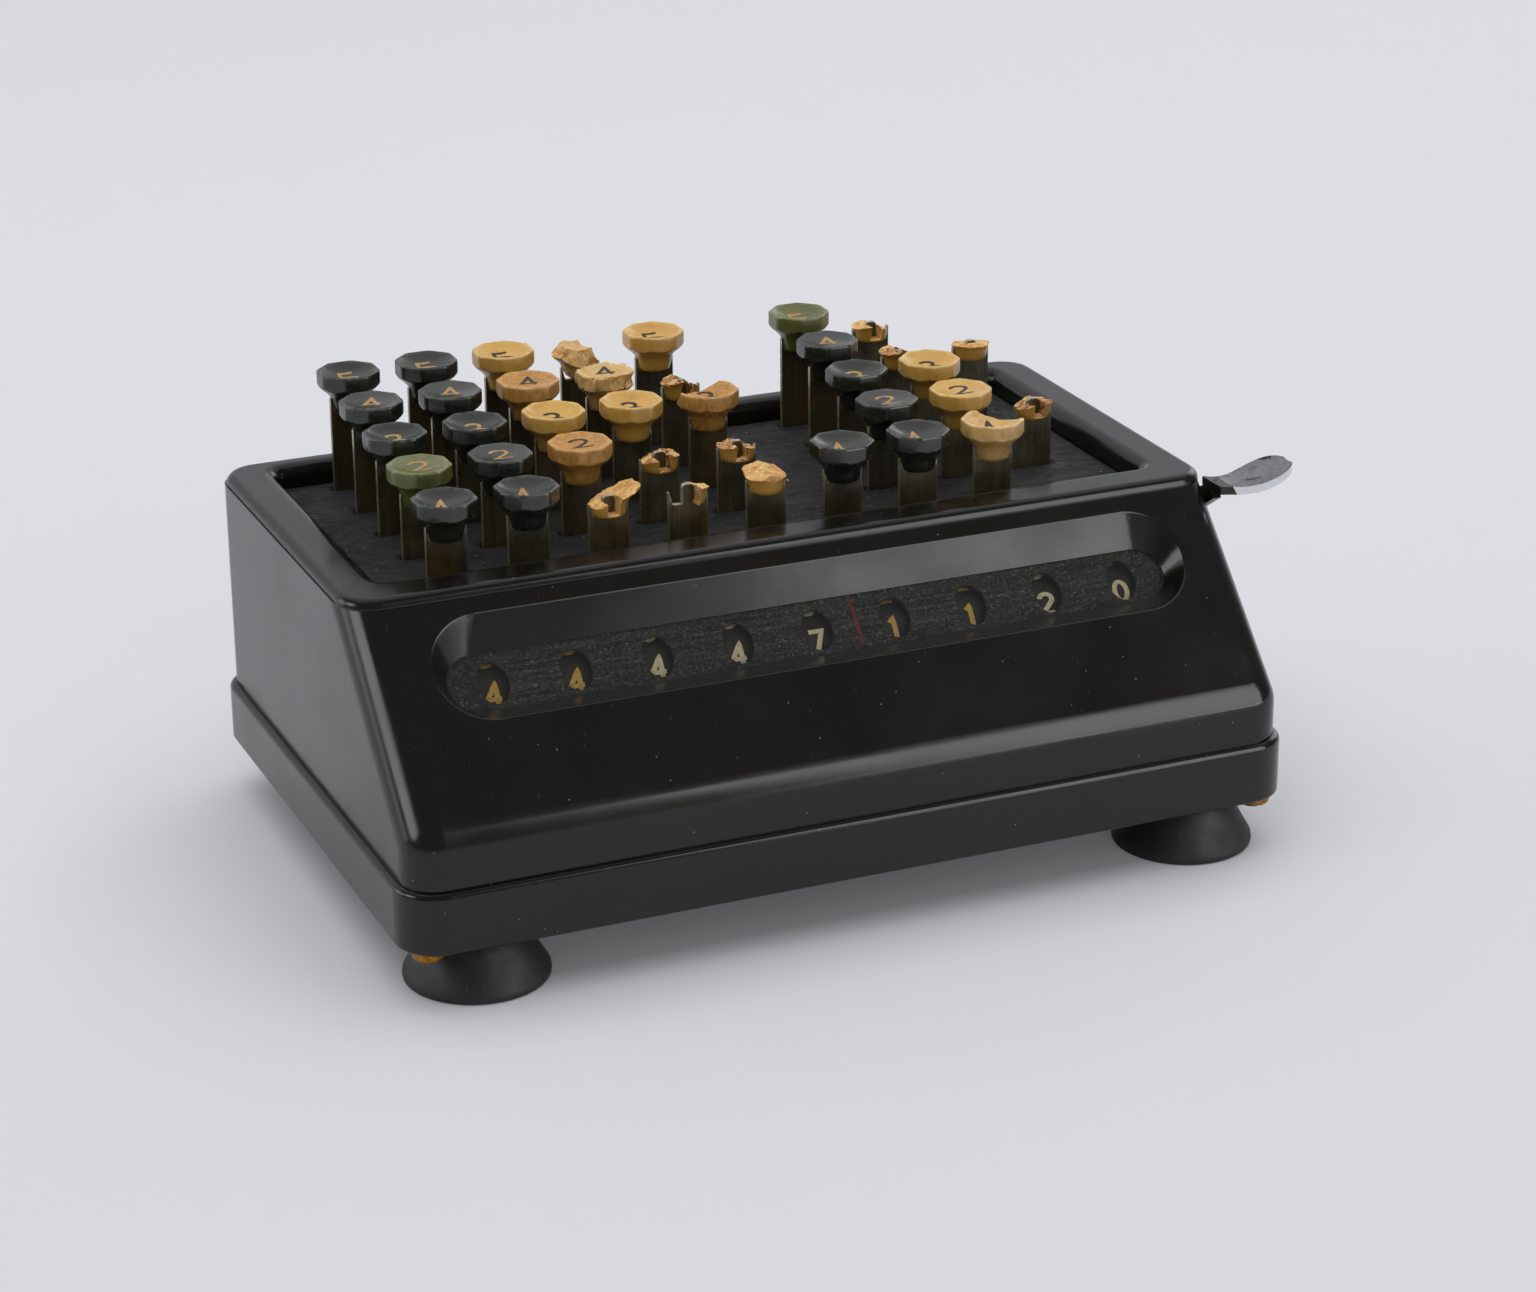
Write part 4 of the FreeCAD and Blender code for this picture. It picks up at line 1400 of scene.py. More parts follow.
    def figure(self, row: int) -> list[Surface]:
        """The row's figure, laid on the dish and upright for someone in front of the machine.

        Args:
            row: Row of the key, which is also its figure.

        Returns:
            One closed ribbon for each stroke.
        """
        shapes = Figures(self.one_flag_reach, self.one_flag_foot)
        size, pen, depth = self.figure_height, self.figure_pen, self.figure_depth
        found = []
        for rings, closed in shapes.ribbons(row, size, pen, depth):
            across, up = rings[..., 0] * self.figure_widen, rings[..., 1] - size / 2
            z = self.dish_height(row, np.hypot(across, up)) + rings[..., 2]
            found.append(loft(np.stack([across, up, z], axis=-1), wrap=closed))
        return found

    def broken_body(
        self,
        name: str,
        row: int,
        breaks: Breaks,
        seed: int,
        tang: float,
    ) -> bpy.types.Mesh:
        """Cap with pieces broken away, its break faces in the second finish.

        The exact Boolean now and then loses most of a rough shape, so a mesh with too few faces
        is cut again with other roughness.

        Args:
            name: Name of the mesh.
            row: Row of the key.
            breaks: What is missing.
            seed: Number of the roughness.
            tang: Width of the stem's tang, in front of which a broken neck is open.

        Returns:
            The mesh.
        """
        whole = self.body(row, seed, self.broken_chips, breaks.crumble)
        near = (-tang / 2, -self.turned_radius - self.open_margin, self.open_foot)
        far = (tang / 2, self.open_back, self.height + self.open_margin)
        for attempt in range(self.attempts):
            cutters = []
            for number, (point, away) in enumerate(breaks.planes):
                chance = seed + self.plane_seeds * number + self.attempt_seeds * attempt
                cutters.append(self.face.block(point, away, breaks.rough, chance))
            if breaks.open_front:
                opening = rough_box(near, far, self.open_rough, seed + attempt)
                cutters.append(with_finish(opening, 1))
            mesh = cut_away(name, whole, cutters)
            if len(mesh.polygons) > self.fewest_faces:
                break
            LOG.info("%s: cut again, %d faces were left", name, len(mesh.polygons))
        return mesh


@dataclass(frozen=True)
class CapLook:
    """Materials of a cap and its figure, its slot, and the depth of the chips on its edges."""

    resin: bpy.types.Material
    enamel: bpy.types.Material
    slot: str
    chips: float


@dataclass
class Keyboard:
    """Keys: a flat steel stem with horns and tang, and a cap or what is left of it."""

    cap: KeyCap = field(default_factory=KeyCap)
    stem_width: float = 9.5
    stem_thickness: float = 1.2
    horn_height: float = 3.0
    horn_shoulder: float = 1.8
    horn_tip: float = 0.25
    horn_foot: float = 0.9
    seat_inset: float = 0.9
    seat_corner: tuple[float, float] = (0.1, 0.25)
    flank_drop: float = 2.0
    tang_width: float = 2.9
    tang_height: float = 4.5
    tang_round: float = 0.9
    tang_degrees: tuple[int, ...] = (80, 50, 25, 0)
    # Edge mark round the tang's top: worn metal and a painted highlight
    tang_wear_and_highlight: tuple[float, ...] = (1.0, 1.0, 1.0, 0.8)
    tang_band: float = 0.15
    notch_band: float = 0.3
    horn_band: float = 0.08
    flank_band: float = 0.2
    sharpest_mitre: float = 0.8
    neck_gap: float = 0.05
    stem_edge_round: float = 0.16
    cap_crease: float = 40.0
    break_crease: float = 50.0
    foot_slice: float = 0.5
    columns: int = 9
    rows: int = 5

    def __post_init__(self) -> None:
        """Lists the caps that aren't dark and the ones that are broken, by column and row."""
        self.colours: dict[Key, CapState] = {
            (1, 2): CapState.OLIVE,
            (7, 5): CapState.OLIVE,
            (3, 5): CapState.CREAM,
            (3, 4): CapState.BROWN,
            (3, 3): CapState.CREAM,
            (3, 2): CapState.BROWN,
            (4, 3): CapState.CREAM,
            (5, 5): CapState.CREAM,
            (5, 3): CapState.BROWN,
            (8, 3): CapState.CREAM,
            (8, 2): CapState.CREAM,
            (8, 1): CapState.PALE,
            (4, 4): CapState.PALE,
            (4, 5): CapState.PALE,
        }

        # Planes of the breaks that are alike, and of the ones that stand alone
        left_high = [((-2.8, 0, 3.7), (-0.2, 0.1, 1)), ((2.8, 0, 2.9), (0.35, 0.05, 1))]
        right_high = [((-2.8, 0, 2.7), (-0.3, 0.1, 1)), ((2.8, 0, 3.7), (0.2, 0.1, 1))]
        right_only = [((1.2, 0, 2.0), (-1, 0, 0)), ((2.8, 0, 3.9), (0.2, 0.2, 1))]
        tall = [((-3.0, 0, 4.3), (-0.3, 0.2, 1)), ((2.8, 0, 3.2), (0.5, 0.1, 1))]
        shard = [
            ((2.6, 0, 6.2), (0.9, 0.1, 0.35)),
            ((0, -3.4, 6.0), (0.1, -1, 0.35)),
            ((0, 4.4, 6.0), (0, 1, 0.2)),
            ((-3.4, 0, 8.2), (-0.55, 0.1, 0.6)),
            ((-5.8, 0, 5.6), (-0.8, 0, -0.6)),
        ]
        crumbled = [((0, -6.4, 6.0), (0.2, -1, 0.1)), ((-3.6, 5.0, 8.0), (-0.3, 0.8, 0.5))]
        lump = [
            ((-1.0, 0, 5.0), (-0.3, -0.1, 1)),
            ((1.5, 0, 4.9), (0.4, -0.1, 1)),
            ((-4.7, 0, 4.0), (-1, 0.1, 0.2)),
            ((4.7, 0, 4.0), (1, 0.1, 0.2)),
            ((0, -4.5, 4.0), (0.1, -1, 0.2)),
            ((0, 4.5, 4.0), (0.1, 1, 0.2)),
        ]
        ring = [((0, 0, 3.6), (0, 0.1, 1))]
        curl = [((0, 0, 3.9), (-0.42, 0.1, 1))]
        behind = [((-0.5, 4.2, 6.8), (-0.3, 0.7, 0.55))]
        right = [((4.4, 2.6, 6.4), (0.62, 0.5, 0.5))]

        self.broken: dict[Key, Breaks] = {
            (3, 1): Breaks(curl, open_front=True, rough=0.5),
            (4, 1): Breaks(right_only, open_front=True, rough=0.4),
            (4, 2): Breaks(right_high, open_front=True, rough=0.45, stained=True),
            (4, 4): Breaks(crumbled, rough=0.5, crumble=1.5, figure_left=True),
            (4, 5): Breaks(shard, rough=0.7, crumble=1.0),
            (5, 1): Breaks(lump, rough=0.3),
            (5, 2): Breaks(left_high, open_front=True, rough=0.45, stained=True),
            (5, 3): Breaks(behind, rough=0.4, figure_left=True),
            (5, 4): Breaks(tall, open_front=True, rough=0.5, stained=True),
            (8, 1): Breaks(right, rough=0.4, figure_left=True),
            (8, 4): Breaks(tall, open_front=True, rough=0.5, stained=True),
            (8, 5): Breaks(left_high, open_front=True, rough=0.4),
            (9, 2): Breaks(right_high, open_front=True, rough=0.45, stained=True),
            (9, 4): Breaks(ring, rough=0.4),
        }

    def keys(self) -> list[Key]:
        """Column and row of each key in the frame."""
        every = itertools.product(range(1, self.columns + 1), range(1, self.rows + 1))
        return [key for key in every if "key_c%d_r%d" % key in FRAME["nodes"]]

    def place(self, column: int, row: int) -> Triple:
        """Middle of the neck's foot of a key, from the frame.

        The middle of a stem's foot gives X and Y, and a whole cap of the same row gives Z.

        Args:
            column: Column of the key.
            row: Row of the key.

        Returns:
            The place.
        """
        points = node_points("key_c%d_r%d" % (column, row))
        foot = points[points[:, 2] < points[:, 2].min() + self.foot_slice]
        x, y = (foot.min(axis=0) + foot.max(axis=0))[:2] / 2
        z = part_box("key_c1_r%d" % row)[1][2] / MM - self.cap.height
        return float(x), float(y), float(z)

    def stem(self, x: float, y: float, z: float, foot: float) -> Surface:
        """Flat stem as an outline carried through its thickness, its faces bevelled by a band.

        Args:
            x: Middle of the key.
            y: Middle of the stem's thickness.
            z: Foot of the cap's neck.
            foot: Height of the stem's foot.

        Returns:
            The closed surface, with its pale edge mark on the notch, the horns and the tang top:
            worn bare metal, and a painted highlight where these edges face up.
        """
        half, neck = self.stem_width / 2, self.cap.neck_foot_radius
        lean = (self.cap.neck_top_radius - neck) / self.cap.neck_height
        tip = neck + lean * self.horn_height + self.neck_gap
        tang, notch = self.tang_band, self.notch_band
        horn, flank = self.horn_band, self.flank_band

        # Half the outline from the tang's top to the foot: across, up, edge mark (wear and painted
        # highlight) and band
        side = []
        for degrees, worn in zip(self.tang_degrees, self.tang_wear_and_highlight):
            bend = math.radians(degrees)
            across = self.tang_width / 2 - self.tang_round * (1 - math.cos(bend))
            up = self.tang_height - self.tang_round * (1 - math.sin(bend))
            side.append((across, up, worn, tang))
        side += [
            (self.tang_width / 2, 0.0, 0.7, notch),
            (neck - self.seat_inset, 0.0, 1.0, notch),
            (neck - self.seat_corner[0], self.seat_corner[1], 1.0, notch),
            (neck + self.neck_gap, self.horn_foot, 1.0, notch),
            (tip, self.horn_height, 1.0, horn),
            (tip + self.horn_tip, self.horn_height, 1.0, horn),
            (half, self.horn_shoulder, 0.8, horn),
            (half, 0.0, 0.5, flank),
            (half, -self.flank_drop, 0.3, flank),
            (half, foot - z, 0.0, flank),
        ]
        side = np.array(side)
        corners = np.concatenate([side, side[::-1] * (-1, 1, 1, 1)])
        outline, worn = corners[:, :2], corners[:, 2]
        inner = self.drawn_in(outline, corners[:, 3])
        near, far = -self.stem_thickness / 2, self.stem_thickness / 2
        rings = []
        for flat, depth in ((inner, near), (outline, near), (outline, far), (inner, far)):
            rings.append(np.stack([flat[:, 0], 0 * flat[:, 0] + depth, flat[:, 1]], axis=-1))
        surface = loft(np.stack(rings))
        # Pale edge mark, worn metal and painted highlight, on the outline and fading across the
        # band
        surface.wear = np.concatenate([0 * worn, worn, worn, 0 * worn])
        return surface.moved(x, y, z)

    def drawn_in(self, outline: np.ndarray, band: np.ndarray) -> np.ndarray:
        """Closed outline drawn in: each corner moves along its mitre by its band's width.

        The mitre is the sum of the two sides' square vectors, over half its squared length.

        Args:
            outline: Corners in order.
            band: Distance between the two outlines at each corner.

        Returns:
            The inner corners.
        """
        following = np.roll(outline, -1, axis=0)
        runs = unit(following - outline)
        square = np.stack([-runs[:, 1], runs[:, 0]], axis=-1)
        mitre = square + np.roll(square, 1, axis=0)
        length = np.maximum(np.einsum("ij,ij->i", mitre, mitre), self.sharpest_mitre)
        mitre = mitre / length[:, None] * 2
        turning = float((outline[:, 0] * following[:, 1] - outline[:, 1] * following[:, 0]).sum())
        return outline + mitre * band[:, None] * math.copysign(1.0, turning)

    def seed(self, key: Key) -> int:
        """Number of a key's chips and breaks, from its column and row."""
        return 10 * key[0] + key[1]

    def add_stem(self, key: Key, place: Triple, steel: bpy.types.Material) -> None:
        """Adds a key's stem, its edges rounded.

        Args:
            key: Column and row.
            place: Middle of the neck's foot.
            steel: The stem's material.
        """
        node = "key_c%d_r%d" % key
        surface = self.stem(*place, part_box(node)[0][2] / MM)
        piece = add_piece("stem_c%d_r%d" % key, surface, [steel], node)
        edge = piece.modifiers.new("edge", "BEVEL")
        edge.width = self.stem_edge_round * MM
        edge.segments = 2
        edge.limit_method = "ANGLE"

    def add_whole_cap(self, key: Key, place: Triple, look: CapLook) -> None:
        """Adds a whole cap with its figure.

        Args:
            key: Column and row.
            place: Middle of the neck's foot.
            look: Its look.
        """
        node, row = "key_c%d_r%d" % key, key[1]
        body = self.cap.body(row, self.seed(key), look.chips)
        marks = [with_finish(part, 1) for part in self.cap.figure(row)]
        surface = joined([body] + marks).moved(*place)
        materials = [look.resin, look.enamel]
        cap = add_piece("cap_c%d_r%d" % key, surface, materials, node, self.cap_crease)
        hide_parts(node)

    def add_broken_cap(
        self,
        key: Key,
        place: Triple,
        look: CapLook,
        face: bpy.types.Material,
    ) -> None:
        """Adds what is left of a cap, and its figure where that is left too.

        Args:
            key: Column and row.
            place: Middle of the neck's foot.
            look: Its look.
            face: Material of the break faces.
        """
        node, name, row = "key_c%d_r%d" % key, "cap_c%d_r%d" % key, key[1]
        breaks = self.broken[key]
        mesh = self.cap.broken_body(name, row, breaks, self.seed(key), self.tang_width)
        mesh.transform(Matrix.Translation(Vector(place) * MM))
        cap = add_piece(name, mesh, [look.resin, face], node, self.break_crease)
        if breaks.figure_left:
            mark = joined(self.cap.figure(row)).moved(*place)
            add_piece("figure_c%d_r%d" % key, mark, [look.enamel], node)
        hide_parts(node)

    def build(self) -> None:
        """Builds every key as two pieces, the stem and the cap."""
        steel = STEM_STEEL.build()
        gold, black = GOLD_ENAMEL.build(), BLACK_ENAMEL.build()
        looks = {
            CapState.DARK: CapLook(DARK_PHENOLIC.build(), gold, "dark_caps", 0.12),
            CapState.OLIVE: CapLook(OLIVE_PHENOLIC.build(), gold, "olive_caps", 0.12),
            CapState.CREAM: CapLook(CREAM_RESIN.build(), black, "cream_caps", 0.25),
            CapState.PALE: CapLook(PALE_RESIN.build(), black, "cream_caps", 0.4),
            CapState.BROWN: CapLook(BROWN_RESIN.build(), black, "cream_caps", 0.4),
        }
        crumbly, stained = BROKEN_RESIN.build(), STAINED_RESIN.build()
        for key in self.keys():
            place = self.place(*key)
            self.add_stem(key, place, steel)
            breaks = self.broken.get(key)
            look = looks[self.colours.get(key, CapState.CREAM if breaks else CapState.DARK)]
            if breaks:
                self.add_broken_cap(key, place, look, stained if breaks.stained else crumbly)
            else:
                self.add_whole_cap(key, place, look)


@dataclass
class DialPanel:
    """Number wheels with their figures, the card mask, the clear window and the divider lines."""

    slope_run: float = 37.6
    slope_rise: float = 38.5
    rim_height: float = 2.3
    figure_height: float = 5.0
    figure_widen: float = 1.2
    figure_pen: float = 1.0
    figure_lift: float = 0.1
    figure_drop: float = 1.9
    line_width: float = 0.7
    line_low: float = 30.4
    line_high: float = 43.2
    line_sunk: float = 0.02
    line_proud: float = 0.06
    line_points: int = 24
    sway_size: float = 3.0
    sway_reach: float = 0.08
    red_after: int = 5
    red_seed: int = 3
    teal_after: int = 7
    teal_seed: int = 5
    mask_depth: float = 6.2
    figures: int = 10
    shown: tuple[int, ...] = (4, 4, 4, 4, 7, 1, 1, 2, 0)
    amber: tuple[int, ...] = (1, 2, 6, 7)

    def directions(self) -> tuple[np.ndarray, np.ndarray]:
        """Unit vectors along the slope.

        Returns:
            The direction up the slope, and the one out of it.
        """
        length = math.hypot(self.slope_run, self.slope_rise)
        up = np.array([0, self.slope_run, self.slope_rise]) / length
        out = np.array([0, -self.slope_rise, self.slope_run]) / length
        return up, out

    def bend(self) -> np.ndarray:
        """Point at the front bend, in the plane of the slope, in the middle of the case."""
        low, high = (np.array(corner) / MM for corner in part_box("upper_case"))
        return np.array([0, low[1], high[2] - self.rim_height - self.slope_rise])

    def wheel_figures(self, column: int, centre: np.ndarray, radius: float) -> Surface:
        """Ten figures round one wheel, the shown one behind the window.

        A figure's height runs round the wheel: angle = height / radius from the direction out
        of the slope, and the figures follow one another every tenth of a turn.

        Args:
            column: Column of the wheel.
            centre: Middle of the wheel's axis at the figures.
            radius: Radius of the wheel.

        Returns:
            The ribbons of all ten figures.
        """
        up, out = self.directions()
        size, pen, lift = self.figure_height, self.figure_pen, self.figure_lift
        found = []
        for figure in range(self.figures):
            step = (figure - self.shown[column - 1]) * 2 * math.pi / self.figures
            for rings, closed in Figures().ribbons(figure, size, pen, lift):
                height = rings[..., 1] - size / 2 - self.figure_drop
                angle = (height / radius + step)[..., None]
                reach = (radius + rings[..., 2])[..., None]
                points = centre + reach * (np.cos(angle) * out + np.sin(angle) * up)
                points = points + rings[..., :1] * np.array([self.figure_widen, 0, 0])
                found.append(loft(points, wrap=closed))
        return joined(found)

    def divider(self, x: float, seed: int) -> Surface:
        """Painted line on the mask between two columns, its edges swayed a little by noise.

        Args:
            x: Its place across the machine.
            seed: Number of its sway.

        Returns:
            The closed surface.
        """
        up, out = self.directions()
        height = np.linspace(self.line_low, self.line_high, self.line_points)
        places = np.stack([height, 0 * height, 0 * height + seed], axis=-1)
        sway = cloud_noise(places, self.sway_size, seed) * self.sway_reach
        half, sunk, proud = self.line_width / 2, -self.line_sunk, self.line_proud
        rings = []
        for side, lift in ((-half, sunk), (half, sunk), (half, proud), (-half, proud)):
            base = self.bend() + height[:, None] * up + (lift - self.mask_depth) * out
            rings.append(base + (x + side + sway)[:, None] * np.array([1.0, 0, 0]))
        return loft(np.stack(rings, axis=1))

    def build(self) -> None:
        """Dresses the wheels, the mask and the window, and adds the figures and the lines."""
        lacquer, card = WHEEL_LACQUER.build(), FIBRE_CARD.build()
        amber, ivory = AMBER_ENAMEL.build(), IVORY_ENAMEL.build()
        joints = {joint["child"]: joint for joint in FRAME["joints"]}
        middles = []
        for column in range(1, len(self.shown) + 1):
            body = "number_wheel_%d" % column
            dress(body, lacquer)
            centre = np.array(joints[body]["pos_m"]) / MM
            middles.append(centre[0])
            radius = (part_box(body)[1][2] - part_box(body)[0][2]) / MM / 2
            enamel = amber if column in self.amber else ivory
            surface = self.wheel_figures(column, centre, radius)
            add_piece("wheel_figures_%d" % column, surface, [enamel], body)
        dress("dial_mask", card)
        stripes = (
            ("divider_line_red", self.red_after, self.red_seed, RED_ENAMEL),
            ("divider_line_teal", self.teal_after, self.teal_seed, TEAL_ENAMEL),
        )
        for name, after, seed, finish in stripes:
            surface = self.divider((middles[after - 1] + middles[after]) / 2, seed)
            add_piece(name, surface, [finish.build()], "chassis")
        dress("dial_window", clear_sheet())


def clear_sheet() -> bpy.types.Material:
    """Polished clear celluloid, which lets the lamps' light through to what lies behind it.

    Returns:
        The material.
    """
    material = bare_material("polished_clear_celluloid")
    tree = material.node_tree
    celluloid = {
        "Base Color": linear("f4f2ea"),
        "Transmission Weight": 1.0,
        "IOR": 1.49,
        "Roughness": 0.03,
    }
    shader = add_node(tree, "BsdfPrincipled", celluloid)
    clear = add_node(tree, "BsdfTransparent")
    shadow = add_node(tree, "LightPath").outputs["Is Shadow Ray"]
    mix = add_node(tree, "MixShader", {0: shadow, 1: shader.outputs[0], 2: clear.outputs[0]})
    add_node(tree, "OutputMaterial", {"Surface": mix.outputs[0]})
    return material


def node_points(node: str) -> np.ndarray:
    """Points of a node of the frame.

    Args:
        node: Name of the node.

    Returns:
        The points, n x 3, in millimetres.
    """
    mesh = FRAME["nodes"][node].data
    points = np.empty(len(mesh.vertices) * 3)
    mesh.vertices.foreach_get("co", points)
    return points.reshape(-1, 3) / MM


def dress(node: str, material: bpy.types.Material) -> None:
    """Gives a node of the frame its material.

    Args:
        node: Name of the node.
        material: The material.
    """
    piece = FRAME["nodes"][node]
    for slot in piece.material_slots:
        slot.material = material
    LOG.info("%s: %s", node, material.name)


@dataclass
class Case:
    """Moulded case and tray, the rubber feet and the screws."""

    foot_base_radius: float = 16.2
    foot_top_radius: float = 10.2
    foot_height: float = 13.0
    foot_sides: int = 96
    foot_edge: tuple[tuple[float, float], ...] = (
        (2.5, 0.0),
        (0.9, 0.0),
        (0.35, 0.2),
        (0.08, 0.55),
        (0.0, 1.0),
        (0.04, 1.5),
    )
    foot_flank_inset: float = 0.15
    foot_flank_from: float = 0.16
    foot_flank_to: float = 0.97
    foot_flank_rings: int = 12
    foot_flank_power: float = 1.08
    foot_top_edge: tuple[tuple[float, float], ...] = ((0.1, 0.1), (0.6, 0.0))
    screw_head_radius: float = 3.9
    screw_head_height: float = 3.0
    screw_shank_radius: float = 1.75
    screw_length: float = 24.0
    screw_slot_width: float = 1.0
    screw_slot_depth: float = 0.8
    screw_slot_margin: float = 1.0
    screw_sides: int = 64
    screw_dome: tuple[tuple[float, float], ...] = (
        (0.45, 0.06),
        (0.75, 0.35),
        (0.93, 0.9),
        (1.0, 1.7),
    )
    screw_edge_round: float = 0.15
    screw_middle: float = 0.02

    def four(self, node: str) -> list[tuple[float, float]]:
        """Middles of a node's four round pieces, each from its points in a quarter of the box.

        Args:
            node: Name of the node.

        Returns:
            X and Y of each piece.
        """
        points = node_points(node)
        middle = (points.min(axis=0) + points.max(axis=0)) / 2
        found = []
        for left, near in itertools.product((True, False), repeat=2):
            inside = ((points[:, 0] < middle[0]) == left) & ((points[:, 1] < middle[1]) == near)
            quarter = points[inside]
            x, y = (quarter.min(axis=0) + quarter.max(axis=0))[:2] / 2
            found.append((float(x), float(y)))
        return found

    def foot(self, x: float, y: float) -> Surface:
        """Flared rubber foot, turned.

        Above its soft edge the flank's radius falls to the top's with a power of the height
        that is left. An edge is a row of insets, each with its height, or its depth at the top.

        Args:
            x: Place of its axis.
            y: Place of its axis.

        Returns:
            The closed surface.
        """
        base, top, height = self.foot_base_radius, self.foot_top_radius, self.foot_height
        profile = [(base - inset, rise) for inset, rise in self.foot_edge]
        flare = base - self.foot_flank_inset - top
        low = self.foot_flank_from
        for share in np.linspace(low, self.foot_flank_to, self.foot_flank_rings):
            radius = top + flare * ((1 - share) / (1 - low)) ** self.foot_flank_power
            profile.append((radius, height * share))
        profile += [(top - inset, height - depth) for inset, depth in self.foot_top_edge]
        return lathe(profile, self.foot_sides, (x, y, 0.0))

    def screw(self, x: float, y: float, z: float) -> list[Surface]:
        """Turned brass screw, the dome of its head given as shares of the radius with heights.

        Args:
            x: Place of its axis.
            y: Place of its axis.
            z: Height of the head's lowest point.

        Returns:
            The head with its shank above it, and the block that cuts its slot.
        """
        radius, height = self.screw_head_radius, self.screw_head_height
        shank, edge = self.screw_shank_radius, self.screw_edge_round
        profile = [(self.screw_middle, 0.0)]
        profile += [(radius * share, rise) for share, rise in self.screw_dome]
        profile += [(radius, height - edge), (radius - edge, height)]
        profile += [(shank, height), (shank, height + self.screw_length)]
        half, margin = self.screw_slot_width / 2, self.screw_slot_margin
        low = (x - half, y - radius - margin, z - margin)
        high = (x + half, y + radius + margin, z + self.screw_slot_depth)
        return [lathe(profile, self.screw_sides, (x, y, z)), rough_box(low, high, 0, 1)]

    def build(self) -> None:
        """Dresses the mouldings, and adds the feet and the screws."""
        phenolic = CASE_PHENOLIC.build()
        dress("upper_case", phenolic)
        dress("base_tray", phenolic)
        surface = joined([self.foot(x, y) for x, y in self.four("rubber_feet")])
        feet = add_piece("flared_feet", surface, [RUBBER.build()], "chassis")
        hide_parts("rubber_feet")
        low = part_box("case_screws")[0][2] / MM
        bodies, slots = [], []
        for x, y in self.four("case_screws"):
            body, slot = self.screw(x, y, low)
            bodies.append(body)
            slots.append(slot)
        mesh = cut_away("slotted_screws", joined(bodies), [joined(slots)])
        screws = add_piece("slotted_screws", mesh, [BRASS.build()], "chassis")
        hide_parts("case_screws")


@dataclass
class FeltMat:
    """Felt on the floor of the key well, ridged by wear and parted round each stem."""

    stem_width: float
    stem_thickness: float
    spacing: float = 0.55
    corner_radius: float = 2.8
    slot_gap: float = 0.7
    slot_blend: float = 1.1
    slot_share: float = 0.4
    under_gap: float = 0.02
    nap_stretch: Triple = (0.4, 1.0, 1.0)
    nap_slant: Triple = (0.3, -0.25, 0.0)
    nap_size: float = 2.6
    nap_seed: int = 5
    nap_share: float = 0.6
    wave_size: float = 9.0
    wave_seed: int = 6
    wave_share: float = 0.4
    ridge_size: float = 3.4
    ridge_seed: int = 8
    ridge_sharpness: float = 1.6
    ridge_height: float = 0.32
    ridge_sink: float = 1.2
    ridge_share: float = 0.5
    edge_droop: float = 0.25
    edge_band: float = 0.8
    crease: float = 60.0

    def top(
        self,
        x: np.ndarray,
        y: np.ndarray,
        low: float,
        high: float,
        places: list[Triple],
    ) -> np.ndarray:
        """Height of the felt: its nap's noise, sunk to nothing in the slot round each stem.

        The noise is read in slanted, stretched places, so that its clouds and the ridges, where
        it crosses zero, run on a slant. Towards a stem the height falls by a smooth step.

        Args:
            x: X of the points.
            y: Y of the points.
            low: Underside of the felt.
            high: Highest that the nap reaches.
            places: Middle of each stem.

        Returns:
            One height for each point.
        """
        points = np.stack([x, y, 0 * x], axis=-1)
        turned = points * self.nap_stretch + points[:, [1, 0, 2]] * self.nap_slant
        nap = self.nap_share * cloud_noise(turned, self.nap_size, self.nap_seed, octaves=4)
        waves = cloud_noise(points, self.wave_size, self.wave_seed, octaves=2)
        nap = nap + self.wave_share * waves
        ridges = np.abs(cloud_noise(turned, self.ridge_size, self.ridge_seed))
        ridges = np.clip(1 - ridges * self.ridge_sharpness, 0, 1)
        sunk = self.ridge_sink - self.ridge_share * nap - self.ridge_share * ridges
        height = high - self.ridge_height * sunk
        for px, py, _ in places:
            away_x = np.maximum(np.abs(x - px) - self.stem_width / 2, 0)
            away_y = np.maximum(np.abs(y - py) - self.stem_thickness / 2, 0)
            away = np.hypot(away_x, away_y) - self.slot_gap * self.slot_share
            share = smooth_step(np.clip(away / self.slot_blend, 0, 1))
            height = low + self.under_gap + (height - low - self.under_gap) * share
        return height

    def build(self, places: list[Triple]) -> None:
        """Builds the mat as a square grid mapped into a rounded rectangle, closed below.

        Each row of the grid is shortened at both ends by what the corner's circle leaves out.

        Args:
            places: Middle of each stem.
        """
        low, high = (np.array(corner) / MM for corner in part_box("keyboard_felt"))
        width, length = high[0] - low[0], high[1] - low[1]
        columns, rows = int(width / self.spacing), int(length / self.spacing)
        v = np.linspace(low[1], high[1], rows)
        inset = np.minimum(v - low[1], high[1] - v)
        corner = self.corner_radius
        reach = np.clip(corner - inset, 0, corner)
        shrink = corner - np.sqrt(corner**2 - reach**2)
        share = np.linspace(0, 1, columns)
        x = (low[0] + shrink)[:, None] + share * (width - 2 * shrink)[:, None]
        y = v[:, None] + 0 * x
        top = self.top(x.ravel(), y.ravel(), low[2], high[2], places).reshape(x.shape)
        upper = np.stack([x, y, top], axis=-1)
        lower = np.stack([x, y, 0 * x + low[2]], axis=-1)
        edge = np.minimum(np.minimum(share, 1 - share)[None, :] * width, inset[:, None])
        upper[..., 2] -= self.edge_droop * np.clip(1 - edge / self.edge_band, 0, 1) ** 2
        rings = np.concatenate([upper, lower[:, ::-1]], axis=1)
        felt = FELT.build()
        mat = add_piece("felt_mat", loft(rings), [felt], "chassis", self.crease)
        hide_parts("keyboard_felt")


